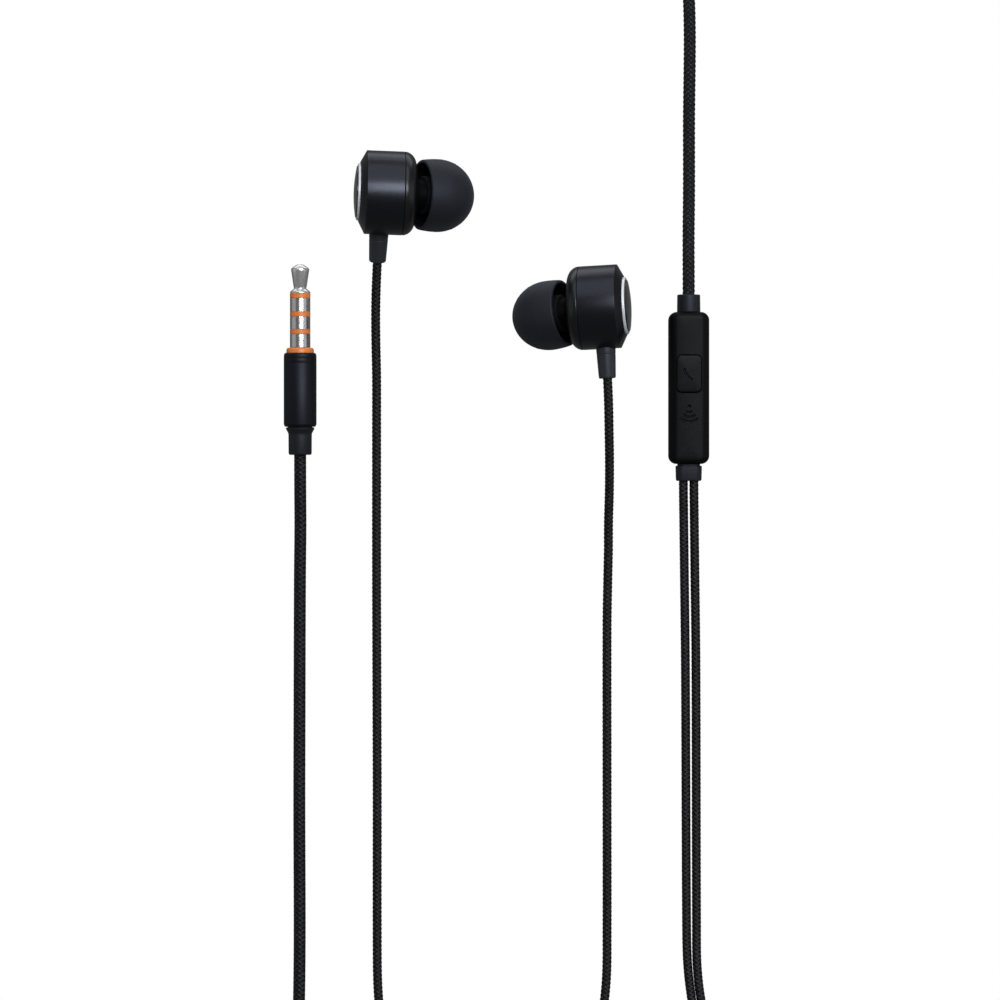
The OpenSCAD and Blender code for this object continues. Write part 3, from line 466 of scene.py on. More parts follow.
def bake(piece: Piece, modifier: bpy.types.Modifier, sharp_deg: float = CRISP_DEG) -> None:
    """Applies a piece's one modifier to its mesh, and shades the result."""
    graph = bpy.context.evaluated_depsgraph_get()
    made = bpy.data.meshes.new_from_object(piece.evaluated_get(graph))
    piece.modifiers.remove(modifier)
    piece.data = made
    made.shade_smooth()
    made.set_sharp_from_angle(angle=math.radians(sharp_deg))


def dress(piece: Piece, node: str, body: str) -> Piece:
    """Puts a piece on its body, in place of its plain solid.

    Args:
        piece: The finished piece.
        node: The solid that it stands for.
        body: The body that it rides on.

    Returns:
        The piece.
    """
    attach(piece, body)
    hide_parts(node)
    LOG.info("%s: %d faces on %s", piece.name, len(piece.data.polygons), body)
    return piece


def skin(rings: int, sides: int, wrap: bool = False, caps: bool = True) -> Faces:
    """Faces between rings of points that lie one after another.

    Args:
        rings: Number of rings.
        sides: Points in a ring.
        wrap: Whether the last ring joins the first.
        caps: Whether both ends are closed, where they don't join.

    Returns:
        Point numbers of each face.
    """
    total = rings * sides
    faces = [(i * sides + k, i * sides + (k + 1) % sides, ((i + 1) * sides + (k + 1) % sides) % total,
              ((i + 1) * sides + k) % total) for i in range(rings - (not wrap)) for k in range(sides)]
    if caps and not wrap:
        faces += [tuple(range(sides - 1, -1, -1)), tuple(range(total - sides, total))]
    return faces


def new_piece(name: str, points: Sequence[Vector], faces: Faces, finish: Material,
              sharp_deg: float = CRISP_DEG) -> Piece:
    """Makes a piece from points in the frame's own metres.

    Args:
        name: The piece's name.
        points: Corner points.
        faces: Point numbers of each face.
        finish: Its material.
        sharp_deg: Edges that turn more than this stay crisp.

    Returns:
        The new object, with faces that point outwards.
    """
    mesh = bpy.data.meshes.new(name)
    mesh.from_pydata([tuple(p) for p in points], [], faces)
    with edited(mesh) as work:
        bmesh.ops.remove_doubles(work, verts=work.verts, dist=WELD)
        bmesh.ops.recalc_face_normals(work, faces=work.faces)
    mesh.materials.append(finish)
    mesh.shade_smooth()
    mesh.set_sharp_from_angle(angle=math.radians(sharp_deg))
    return add_object(name, mesh)


def rounded(profile: Profile, radius: float, steps: int = 4, straight_deg: float = 172.0) -> Profile:
    """Rounds the corners of a closed outline that aren't on the axis.

    Args:
        profile: Corners as (radius, station), in millimetres.
        radius: Largest rounding.
        steps: Points in each corner beyond the first.
        straight_deg: Corners flatter than this stay as they are.

    Returns:
        The outline with short arcs for corners.
    """
    out: Profile = []
    for i, corner in enumerate(profile):
        here = Vector(corner)
        before, after = Vector(profile[i - 1]) - here, Vector(profile[(i + 1) % len(profile)]) - here
        if corner[0] < ON_AXIS or before.angle(after) > math.radians(straight_deg):
            out.append(corner)
            continue
        reach = min(radius / math.tan(before.angle(after) / 2), 0.45 * before.length, 0.45 * after.length)
        start, end = here + before.normalized() * reach, here + after.normalized() * reach
        out += [tuple(quadratic(start, here, end, k / steps)) for k in range(steps + 1)]
    return out


def quadratic(start: Vector, bend: Vector, end: Vector, t: float) -> Vector:
    """A point of a quadratic curve."""
    return start * (1 - t) ** 2 + bend * (2 * t * (1 - t)) + end * t ** 2


def circle_steps(count: int) -> list[float]:
    """Even angles of a full turn, in radians."""
    return [2 * math.pi * k / count for k in range(count)]


def lathe(name: str, profile: Profile, axes: Matrix, finish: Material, around: int = 96) -> Piece:
    """Turns a closed outline round the X axis of the given axes.

    Args:
        name: The piece's name.
        profile: Corners as (radius, station along X), in millimetres.
        axes: Places millimetres of the piece's own axes in the frame.
        finish: Its material.
        around: Faces in a full turn.

    Returns:
        The turned piece.
    """
    points = [axes @ Vector((x, r * math.cos(a), r * math.sin(a)))
              for a in circle_steps(around) for r, x in profile]
    count = len(profile)
    off = [profile[i][0] >= ON_AXIS or profile[(i + 1) % count][0] >= ON_AXIS for i in range(count)]
    faces = [face for i, face in enumerate(skin(around, count, wrap=True)) if off[i % count]]
    return new_piece(name, points, faces, finish)


def bow(mid: tuple[float, float], size: tuple[float, float], start: float, end: float, steps: int) -> Profile:
    """Points on a stretch of an ellipse, from one angle in degrees to another."""
    angles = [math.radians(start + (end - start) * k / steps) for k in range(steps + 1)]
    return [(mid[0] + size[0] * math.cos(a), mid[1] + size[1] * math.sin(a)) for a in angles]


def circle(radius: float, x: float = 0.0) -> Profile:
    """A round outline of 24 points, in millimetres."""
    return bow((x, 0), (radius, radius), 0, 345, 23)


def slab(width: float, length: float, corner: float, steps: int = 8) -> Profile:
    """Outline of a rectangle with round corners, counter-clockwise, in millimetres."""
    out: Profile = []
    for turn, (x, y) in enumerate(((1, 1), (-1, 1), (-1, -1), (1, -1))):
        middle = (x * (width / 2 - corner), y * (length / 2 - corner))
        out += bow(middle, (corner, corner), 90 * turn, 90 * turn + 90, steps)
    return out


def loft(name: str, levels: Sequence[tuple[float, Profile]], axes: Matrix, finish: Material) -> Piece:
    """Skins outlines that are stacked along Z and closes both ends.

    Args:
        name: The piece's name.
        levels: Height and outline of each level, in millimetres, all with as many corners.
        axes: Places millimetres in the frame.
        finish: Its material.

    Returns:
        The closed piece.
    """
    points = [axes @ Vector((x, y, z)) for z, outline in levels for x, y in outline]
    return new_piece(name, points, skin(len(levels), len(levels[0][1])), finish)


def prism(outline: Profile, low: float, high: float, axes: Matrix, finish: Material) -> Piece:
    """A straight closed block of one outline between two heights."""
    return loft("block", [(low, outline), (high, outline)], axes, finish)


def smooth_path(points: Sequence[Vector], step: float) -> list[Vector]:
    """A smooth curve through the points, cut into even steps.

    Args:
        points: The route, in metres.
        step: Wanted spacing, in metres.

    Returns:
        Evenly spaced points on the curve.
    """
    ends = [points[0] * 2 - points[1], *points, points[-1] * 2 - points[-2]]
    dense: list[Vector] = []
    for a, b, c, d in zip(ends, ends[1:], ends[2:], ends[3:]):
        span = (c - b).length
        ahead = (c - a) * (span / ((b - a).length + span))
        beyond = (d - b) * (span / (span + (d - c).length))
        count = max(2, math.ceil(2 * span / step))
        for t in (k / count for k in range(count)):
            dense.append(b * (2 * t ** 3 - 3 * t ** 2 + 1) + ahead * (t ** 3 - 2 * t ** 2 + t)
                         + c * (3 * t ** 2 - 2 * t ** 3) + beyond * (t ** 3 - t ** 2))
    dense.append(points[-1])
    runs = [0.0]
    for p, q in zip(dense, dense[1:]):
        runs.append(runs[-1] + (q - p).length)
    count = max(2, round(runs[-1] / step))
    out, at = [dense[0]], 0
    for k in range(1, count):
        goal = runs[-1] * k / count
        while runs[at + 1] < goal:
            at += 1
        out.append(dense[at].lerp(dense[at + 1], (goal - runs[at]) / (runs[at + 1] - runs[at])))
    return [*out, dense[-1]]


def shift(x: float, y: float, z: float) -> Matrix:
    """A move, in the units of the axes that it is used with."""
    return Matrix.Translation((x, y, z))


def spin(degrees: float, axis: str) -> Matrix:
    """A turn about one axis."""
    return Matrix.Rotation(math.radians(degrees), 4, axis)


def join(piece: Piece, *others: Piece) -> Piece:
    """Moves other pieces' meshes into a piece, material by material, and returns it."""
    for other in others:
        slots = []
        for finish in other.data.materials:
            if finish.name not in piece.data.materials:
                piece.data.materials.append(finish)
            slots.append(piece.data.materials.find(finish.name))
        with edited(piece.data) as work:
            known = len(work.faces)
            work.from_mesh(other.data)
            work.faces.ensure_lookup_table()
            for face in work.faces[known:]:
                face.material_index = slots[face.material_index]
        bpy.data.objects.remove(other)
    return piece


def trim(piece: Piece, point: Vector, away: Vector) -> None:
    """Cuts off the part of a closed piece on one side of a plane and closes the cut.

    Args:
        piece: The piece.
        point: A point of the plane.
        away: Normal of the plane; what lies against it is cut off.
    """
    with edited(piece.data) as work:
        everything = [*work.verts, *work.edges, *work.faces]
        bmesh.ops.bisect_plane(work, geom=everything, plane_co=point, plane_no=away, clear_inner=True)
        bmesh.ops.holes_fill(work, edges=[edge for edge in work.edges if edge.is_boundary])
        bmesh.ops.recalc_face_normals(work, faces=work.faces)


def carve(piece: Piece, tool: Piece) -> None:
    """Cuts a tool's shape out of a piece, and removes the tool."""
    cut = piece.modifiers.new("cut", "BOOLEAN")
    cut.operation, cut.solver, cut.object = "DIFFERENCE", "EXACT", tool
    bake(piece, cut)
    bpy.data.objects.remove(tool)


# ---------------------------------------------------------------- studio


@dataclass
class Studio:
    """Overhead camera, pale floor and soft lights around the laid-out earphones."""

    middle: tuple[float, float] = (-5.5, -31.4)
    height: float = 1000.0
    lens: float = 210.4
    floor_size: float = 6.0
    floor_level: float = -0.0002
    floor_light: float = 1.0
    world_light: float = 0.13
    light_colour: Colour = (0.92, 0.95, 1.0)

    def aim(self) -> None:
        """Puts the camera straight above, with the straight cords running up and down its view."""
        data = bpy.data.cameras.new("overhead_camera")
        data.sensor_width, data.lens, data.clip_start, data.clip_end = 36.0, self.lens, 0.01, 50.0
        camera = add_object("overhead_camera", data)
        camera.location = Vector((*self.middle, self.height)) * MM
        bpy.context.scene.view_settings.view_transform = "Standard"
        bpy.context.scene.camera = camera

    def panel(self, name: str, place: Sequence[float], target: Sequence[float], size: tuple[float, float],
              power: float) -> None:
        """Adds one softbox.

        Args:
            name: The light's name.
            place: Where it hangs, in metres from the middle.
            target: The point that it faces, in metres from the middle.
            size: Its width and height, in metres.
            power: Its power, in watts.
        """
        data = bpy.data.lights.new(name, "AREA")
        data.shape, data.energy, data.color = "RECTANGLE", power, self.light_colour
        data.size, data.size_y = size
        lamp = add_object(name, data)
        lamp.visible_camera = False
        lamp.location = Vector((*self.middle, 0)) * MM + Vector(place)
        lamp.rotation_euler = (Vector(target) - Vector(place)).to_track_quat("-Z", "Y").to_euler()

    def light(self) -> None:
        """Builds the floor, the sky and the softboxes."""
        half = self.floor_size / 2
        mesh = bpy.data.meshes.new("studio_floor")
        corners = [(x * half, y * half, self.floor_level) for x, y in ((-1, -1), (1, -1), (1, 1), (-1, 1))]
        mesh.from_pydata(corners, [], [(0, 1, 2, 3)])
        shader = Shader("studio_paper")
        shader.set(Base_Color=grey(0.0), Roughness=1.0, Specular_IOR_Level=0.0, Emission_Color=grey(1.0),
                   Emission_Strength=self.floor_light)
        mesh.materials.append(shader.material)
        floor = add_object("studio_floor", mesh)
        floor.visible_glossy = floor.visible_diffuse = floor.visible_shadow = False
        world = bpy.data.worlds.new("studio_sky")
        world.use_nodes = True
        sky = world.node_tree.nodes["Background"].inputs
        sky[0].default_value, sky[1].default_value = grey(1.0), self.world_light
        bpy.context.scene.world = world
        self.panel("top_softbox", (0.38, 0.36, 1.25), (0.38, 0.36, 0), (0.9, 0.5), 12.0)
        self.panel("back_softbox", (0, 1.35, 0.85), (0, 0, 0), (2.4, 1.5), 12.0)
        self.panel("rear_fill", (0, 1.1, -0.5), (0, 0, 0), (2.0, 0.7), 5.5)
        self.panel("left_fill", (-1.3, 0.1, 0.3), (0, 0, 0), (0.9, 1.4), 1.2)
        self.panel("right_fill", (1.3, 0.1, 0.4), (0, 0, 0), (0.9, 1.4), 1.8)


# ---------------------------------------------------------------- cords


@dataclass
class Coil:
    """Stored cord in two flat layers of turns, one on the other."""

    middle: tuple[float, float]
    turns: float
    mean_radius: float
    rest: float = 0.3
    climb: float = 0.3
    per_turn: int = 40

    def points(self, thick: float) -> list[Vector]:
        """Route of the turns, from the left side and counter-clockwise.

        Args:
            thick: Diameter of the cord, in millimetres.

        Returns:
            Points in metres, lower layer inwards and upper layer outwards.
        """
        outer = self.mean_radius + thick * self.turns / 4
        count = round(self.turns * self.per_turn)
        out = []
        for t in (self.turns * k / count for k in range(count + 1)):
            depth = self.turns / 2 - math.hypot(t - self.turns / 2, self.climb / 3)
            rise = min(1.0, max(0.0, (t - self.turns / 2) / self.climb + 0.5))
            r, angle = outer - thick * max(0.0, depth), math.pi + 2 * math.pi * t
            z = self.rest + thick * (0.5 + rise * rise * (3 - 2 * rise))
            spot = (self.middle[0] + r * math.cos(angle), self.middle[1] + r * math.sin(angle), z)
            out.append(Vector(spot) * MM)
        return out


@dataclass
class Cord:
    """One braided cord: its route out, its stored coil and its route back."""

    name: str
    far_end: str
    length: float
    thick: float
    finish: str
    pitch: float
    sides: int
    out: list[tuple[float, float, float]]
    coil: Coil
    back: list[tuple[float, float, float]]
    root: list[Vector] = field(default_factory=list)
    relief: float = 0.05
    swell: float = 1.03

    def route(self) -> list[Vector]:
        """The whole centreline in even steps of a quarter of the plait."""
        out, back = [[Vector(row) * MM for row in rows] for rows in (self.out, self.back)]
        turns = self.coil.points(self.thick)
        return smooth_path([*self.root, *out[:-1], *turns, *back[1:]], self.pitch * MM / 4)

    def plait(self, line: list[Vector]) -> Piece:
        """Sweeps the plaited tube along its centreline.

        Args:
            line: The centreline.

        Returns:
            The tube, with a UV map along and round it.
        """
        across = (line[1] - line[0]).cross(UP).normalized()
        points, yarns, turns = [], self.sides // 4, circle_steps(self.sides)
        for i, here in enumerate(line):
            ahead = (line[min(i + 1, len(line) - 1)] - line[max(i - 1, 0)]).normalized()
            across = (across - ahead * across.dot(ahead)).normalized()
            high = ahead.cross(across)
            for angle in turns:
                weave = math.cos(math.pi * i / 2) * math.cos(yarns * angle)
                r = self.thick * MM / 2 * (self.swell + self.relief * weave)
                point = here + across * (r * math.cos(angle)) + high * (r * math.sin(angle))
                points.append((point.x, point.y, max(point.z, 0.0)))
        mesh = bpy.data.meshes.new(self.name)
        mesh.from_pydata(points, [], skin(len(line), self.sides))
        chart = mesh.uv_layers.new(name="braid").data
        for face in mesh.polygons:
            closing = face.index % self.sides == self.sides - 1
            for turn in face.loop_indices:
                i, k = divmod(mesh.loops[turn].vertex_index, self.sides)
                chart[turn].uv = (i * self.pitch / 4, 1.0 if closing and k == 0 else k / self.sides)
        mesh.shade_smooth()
        with edited(mesh) as work:
            bmesh.ops.recalc_face_normals(work, faces=work.faces)
        return add_object(self.name, mesh)

    def build(self, exit_point: Vector, finishes: Finishes, with_pieces: list[Piece]) -> None:
        """Args:
            exit_point: Where the cord leaves the object; not used.
            finishes: The material set.
            with_pieces: Separate pieces on the cord; not used.
        """
        line = self.route()
        piece = self.plait(line)
        piece.data.materials.append(finishes[self.finish])
        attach(piece, "root")
        side = self.name.split("_")[0]
        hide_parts(f"{side}_cord", f"{side}_coil")
        run = sum((q - p).length for p, q in zip(line, line[1:]))
        LOG.info("%s: %.3f m in %d rings", self.name, run, len(line))


# ---------------------------------------------------------------- where the buds sit


@dataclass
class BudAxes:
    """A bud's own axes: X out of the ear side, -Y to its cord, zero at the seam of the barrel."""

    side: Side
    nozzle_slant: float = 17.0
    nozzle_turn: float = 18.0
    magnet_station: float = -2.225

    def __post_init__(self) -> None:
        """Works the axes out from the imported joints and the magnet's box."""
        axes = {joint["name"]: Vector(joint["axis"]) for joint in frame["joints"]}
        side = self.side.value
        self.out = axes[f"{side}_cone_stroke"].normalized()
        self.pull = axes[f"{side}_tip_pull"].normalized()
        slant, turn = math.radians(self.nozzle_slant), math.radians(self.nozzle_turn)
        hand = 1 if self.side is Side.LEFT else -1
        lean = ((self.pull - self.out * math.cos(slant)) / math.sin(slant)).normalized()
        square = self.out.cross(lean) * hand
        self.up_cord = square * math.cos(turn) - lean * math.sin(turn)
        self.top = -lean * math.cos(turn) - square * math.sin(turn)
        low, high = (Vector(corner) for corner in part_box(f"{side}_magnet"))
        self.seam = (low + high) / 2 - self.out * (self.magnet_station * MM)

    def frame_of(self, origin: Vector, x: Vector, y: Vector, z: Vector) -> Matrix:
        """A matrix that takes millimetres along x, y and z from origin to metres in the frame."""
        rows = [(x[i] * MM, y[i] * MM, z[i] * MM, origin[i]) for i in range(3)]
        return Matrix((*rows, (0, 0, 0, 1)))

    @property
    def barrel(self) -> Matrix:
        """Axes of the barrel."""
        return self.frame_of(self.seam, self.out, self.up_cord, self.top)

    def spot(self, x: float, y: float, z: float) -> Vector:
        """A point in metres from millimetres along the barrel's axes."""
        return self.barrel @ Vector((x, y, z))


# ---------------------------------------------------------------- buds


@dataclass
class Bud:
    """One earphone: turned barrel and front shell, ring, domed plate, nozzle, ear tip and strain relief."""

    axes: BudAxes
    tip_d: float
    barrel_r: float = 7.1
    barrel_len: float = 6.4
    barrel_end: float = -7.45
    bevel_w: float = 2.0
    wall: float = 1.0
    plate_seat: float = -7.0
    plate_hole_r: float = 4.9
    post_r: float = 2.4
    post_len: float = 0.7
    ring_r: float = 4.86
    ring_w: float = 0.44
    ring_proud: float = 0.4
    plate_r: float = 4.4
    plate_edge_proud: float = 0.55
    plate_proud: float = 0.95
    front_edge: tuple[float, float] = (2.3, 2.05)
    front_dome: float = 0.45
    nozzle_root: tuple[float, float, float] = (2.3, -0.4944, -1.5217)
    nozzle_len: float = 5.4
    nozzle_r: float = 2.5
    nozzle_bore_r: float = 1.6
    mesh_r: float = 1.88
    mesh_depth: float = 0.4
    mesh_pitch: float = 0.25
    wire_r: float = 0.06
    tip_len: float = 9.3
    tip_widest: float = 2.9
    tip_flare: float = 0.25
    tip_wall: float = 0.55
    tip_hole_r: float = 1.7
    tip_lip: float = 0.45
    tip_bore_r: float = 2.54
    tip_stem_r: float = 3.19
    tip_shoulder: float = 4.9
    tip_stand: float = 0.8
    relief_at: float = -3.8
    relief_reach: float = 12.1
    relief_d: tuple[float, float] = (3.35, 2.9)
    cord_bore_r: float = 0.8
    cap_wall: float = 0.65
    spigot_wall: float = 0.9
    spigot_len: float = 1.5
    nozzle_start: float = -1.9
    nozzle_neck: float = 0.25
    mould_share: float = 0.42
    mould_rise: float = 0.006
    mould_w: float = 0.11
    around: int = 160

    def name(self, piece: str) -> str:
        """The full name of one of this bud's pieces."""
        return f"{self.axes.side.value}_{piece}"

    def dress(self, piece: Piece, node: str, slot: str, body: str = "root") -> None:
        """Puts a piece on its body, with this bud's side before the names of node and body."""
        dress(piece, self.name(node), body if body == "root" else self.name(body))

    @property
    def nozzle_axes(self) -> Matrix:
        """Axes of the nozzle: X out along it, from its root in the dome."""
        along = self.axes.pull
        across = along.cross(self.axes.up_cord).normalized()
        return self.axes.frame_of(self.axes.spot(*self.nozzle_root), along, across.cross(along), across)

    @property
    def relief_axes(self) -> Matrix:
        """Axes of the strain relief: X out towards the cord, from the barrel's own axis."""
        origin = self.axes.spot(self.relief_at, 0, 0)
        return self.axes.frame_of(origin, -self.axes.up_cord, self.axes.out, self.axes.top)

    def barrel(self, finish: Material) -> None:
        """Turns the barrel, with its bevel, its recess for the plate and soft edges."""
        inner, floor = self.barrel_r - self.wall, self.plate_seat + self.post_len
        outline = rounded([
            (inner, -0.02), (inner, floor), (self.post_r, floor), (self.post_r, self.plate_seat),
            (self.plate_hole_r, self.plate_seat), (self.plate_hole_r, self.barrel_end),
            (self.barrel_r - self.bevel_w, self.barrel_end), (self.barrel_r, -self.barrel_len),
            (self.barrel_r, -0.02)], radius=0.11)
        piece = lathe(self.name("turned_barrel"), outline, self.axes.barrel, finish, self.around)
        self.dress(piece, "housing", "satin_shell")

    def shell(self, finishes: Finishes) -> None:
        """Turns the rounded front shell and adds the slanted nozzle to it."""
        width, length = self.front_edge
        cap_r = self.barrel_r - 0.8 * width
        inner = self.barrel_r - self.wall - 0.05
        edge = bow((self.barrel_r - width, 0.0), (width, length), 3, 78, 14)
        cap = [(cap_r * (1 - k / 8), length + self.front_dome * (1 - (1 - k / 8) ** 2)) for k in range(1, 9)]
        under, bore = length - self.cap_wall, inner - self.spigot_wall
        front = [(self.barrel_r - 0.1, 0.02), (self.barrel_r - 0.02, 0.06), *edge, *cap, (0.0, under),
                 (bore, under), (bore, -self.spigot_len), (inner, -self.spigot_len), (inner, 0.02)]
        neck, end, seat = self.nozzle_r - self.nozzle_neck, self.nozzle_len, self.nozzle_len - self.mesh_depth
        tube = rounded([
            (self.nozzle_bore_r, self.nozzle_start), (self.nozzle_r, self.nozzle_start),
            (self.nozzle_r, 2.1), (neck, 2.4),
            (neck, end - 1.2), (self.nozzle_r, end - 0.8), (self.nozzle_r, end - 0.3),
            (self.nozzle_r - 0.3, end), (self.mesh_r + 0.05, end), (self.mesh_r + 0.05, seat),
            (self.nozzle_bore_r, seat)], radius=0.1)
        finish = finishes["front_shell_plastic"]
        piece = lathe(self.name("front_cap"), front, self.axes.barrel, finish, self.around)
        # The nozzle takes the darker copy of the shell plastic: painted shade in the tip's hollow.
        nozzle = lathe("nozzle_tube", tube, self.nozzle_axes, finishes["nozzle_plastic_painted_shade"])
        trim(nozzle, self.axes.spot(length - 0.6, 0, 0), self.axes.out)
        self.dress(join(piece, nozzle), "front_shell", "front_shell_gloss")

    def outer_end(self, finishes: Finishes) -> None:
        """Turns the bright ring and the glossy domed plate that it frames."""
        seat, ring_mid = self.plate_seat + 0.02, self.ring_r - self.ring_w / 2
        crown = bow((ring_mid, self.barrel_end - self.ring_proud + 0.2), (self.ring_w / 2, 0.2), 180, 360, 12)
        outline = [(self.ring_r - self.ring_w, seat), *crown, (self.ring_r, seat)]
        finish = finishes["bright_ring"]
        ring = lathe(self.name("bright_ring"), outline, self.axes.barrel, finish, self.around)
        self.dress(ring, "trim_ring", "bright_ring")
        edge, rise = self.barrel_end - self.plate_edge_proud, self.plate_proud - self.plate_edge_proud
        dome = [(self.plate_r * k / 20, edge - rise * (1 - (k / 20) ** 2)) for k in range(20)]
        stud_r, stud_end = self.post_r - 0.05, self.plate_seat + self.post_len - 0.05
        outline = [*dome, (self.plate_r - 0.06, edge - 0.01), (self.plate_r, edge + 0.06),
                   (self.plate_r, seat), (stud_r, seat), (stud_r, stud_end), (0.0, stud_end)]
        finish = finishes["plate_gloss"]
        plate = lathe(self.name("domed_plate"), outline, self.axes.barrel, finish, around=128)
        self.dress(plate, "face_plate", "gloss_plate")

    def ear_tip(self, finishes: Finishes) -> None:
        """Turns the soft tip: a thin skirt over a stem, with a faint mould line round its dome."""
        outer, apex = self.tip_d / 2, self.tip_len - self.tip_widest
        inner, inner_apex = outer - self.tip_wall, apex - 1.2
        mould_at = self.tip_widest + self.mould_share * apex
        lip = math.degrees(math.acos((self.tip_hole_r + self.tip_lip) / outer))
        web = math.degrees(math.acos(self.tip_stem_r / inner))
        lip_at = self.tip_widest + apex * math.sin(math.radians(lip))
        skirt = [(outer - self.tip_flare * (1 - k / 12) ** 2, self.tip_widest * k / 12) for k in range(12)]
        skirt[0] = (skirt[0][0] - 0.08, 0.0)
        skirt.insert(1, (skirt[1][0] - 0.03, 0.09))
        dome = [(r * (1 + self.mould_rise * math.exp(-(((x - mould_at) / self.mould_w) ** 2))), x)
                for r, x in bow((0.0, self.tip_widest), (outer, apex), 0, lip, 72)]
        mouth = bow((self.tip_hole_r + self.tip_lip, lip_at - self.tip_lip / 2),
                    (self.tip_lip, self.tip_lip / 2), 110, 180, 5)
        inside = [(inner - (self.tip_flare - 0.1) * (1 - k / 8) ** 2, self.tip_widest * k / 8)
                  for k in range(7, -1, -1)]
        outline = [*skirt, *dome, *mouth, (self.tip_hole_r, self.tip_shoulder),
                   (self.tip_bore_r, self.tip_shoulder), (self.tip_bore_r, 0.25),
                   (self.tip_stem_r - 0.1, 0.25), (self.tip_stem_r, 0.35),
                   *bow((0.0, self.tip_widest), (inner, inner_apex), web, 0, 16), *inside]
        axes = self.nozzle_axes @ shift(self.tip_stand, 0, 0)
        piece = lathe(self.name("soft_tip"), outline, axes, finishes["tip_silicone"], around=144)
        self.paint_hollow_shade(piece, axes.inverted(), finishes["tip_hollow_painted_shade"])
        self.dress(piece, "ear_tip", "silicone_tip", "tip")

    def paint_hollow_shade(self, piece: Piece, local: Matrix, finish: Material) -> None:
        """Paints shade on the inside of the skirt and on the stem in it: they take a darker, matt copy of the
        tip's silicone where the hollow lies in shade.

        Args:
            piece: The turned tip.
            local: Takes the frame to the tip's axes, X towards the apex.
            finish: The darker finish of the hollow, its painted shade.
        """
        piece.data.materials.append(finish)
        # Faces of the stem, and faces that look inwards, take the darker copy: painted shade in the hollow.
        for face in piece.data.polygons:
            spot = local @ face.center
            radial = Vector((0, spot.y, spot.z))
            stem = radial.length < self.tip_stem_r + 0.05 and spot.x < self.tip_shoulder
            if stem or (local.to_3x3() @ face.normal).normalized().dot(radial.normalized()) < -0.1:
                face.material_index = 1

    def relief(self, finish: Material) -> None:
        """Turns the tapered strain relief, with a step ring near its root and a softened end."""
        root, end = self.barrel_r - 0.4, self.relief_reach
        first, last = self.relief_d[0] / 2, self.relief_d[1] / 2
        slope = (last - first) / (end - root)
        step = [(first + slope * at - groove, root + at + drop)
                for at, drop, groove in ((1.2, 0, 0), (1.2, 0.06, 0.03), (1.4, 0, 0.03), (1.5, 0, 0))]
        outline = rounded([(self.cord_bore_r, root), (first, root), *step, (last, end - 0.2),
                           (last - 0.12, end), (self.cord_bore_r, end)], radius=0.1)
        piece = lathe(self.name("tapered_relief"), outline, self.relief_axes, finish, around=72)
        self.dress(piece, "strain_relief", "soft_rubber")

    def woven_mesh(self, finishes: Finishes) -> None:
        """Weaves the disc of fine wires in the mouth of the nozzle, from one node tree."""
        tree = Growth("woven_mesh")
        count = tree.number("Wires each way", 15)
        pitch = tree.number("Pitch", self.mesh_pitch * MM)
        thick = tree.number("Wire radius", self.wire_r * MM)
        reach = tree.number("Disc radius", self.mesh_r * MM)
        start = tree.vector(Y=(count * -0.5 + 0.5) * pitch)
        both = tree.node("GeometryNodeJoinGeometry", {})
        for turn in (0.0, math.pi / 2):
            spots = {"Count": count, "Start Location": start, "Offset": tree.vector(Y=pitch)}
            lines, share, across = tree.lines(tree.node("GeometryNodeMeshLine", spots), -1, 31)
            along = share * (reach * reach - across * across).largest(TINY).root()
            wave = ((along + across) / pitch * math.pi).cos() * (thick * (0.9 if turn else -0.9))
            rods = tree.rods(lines, tree.vector(X=along, Y=across, Z=wave), thick, 6)
            layer = tree.node("GeometryNodeTransform", {"Geometry": rods, "Rotation": (0, 0, turn)})
            tree.feed(both.socket.node.inputs["Geometry"], layer)
        piece = tree.grow(both, finishes["mesh_steel"])
        seat = self.nozzle_axes @ shift(self.nozzle_len - self.mesh_depth, 0, 0)
        piece.data.transform(seat @ shift(0.14, 0, 0) @ Matrix.Scale(1 / MM, 4) @ spin(90, "Y"))
        disc = [(0, 0), (self.mesh_r, 0), (self.mesh_r, 0.05), (0, 0.05)]
        join(piece, lathe("mesh_backing", disc, seat, finishes["felt"], around=48))
        piece.name = self.name("woven_mesh")
        self.dress(piece, "nozzle_mesh", "steel_mesh")

    def build(self, finishes: Finishes) -> None:
        """Builds every piece of the bud that shows."""
        self.barrel(finishes["satin_coat"])
        self.shell(finishes)
        self.outer_end(finishes)
        self.ear_tip(finishes)
        self.relief(finishes["relief_rubber"])
        self.woven_mesh(finishes)


# ---------------------------------------------------------------- cord set


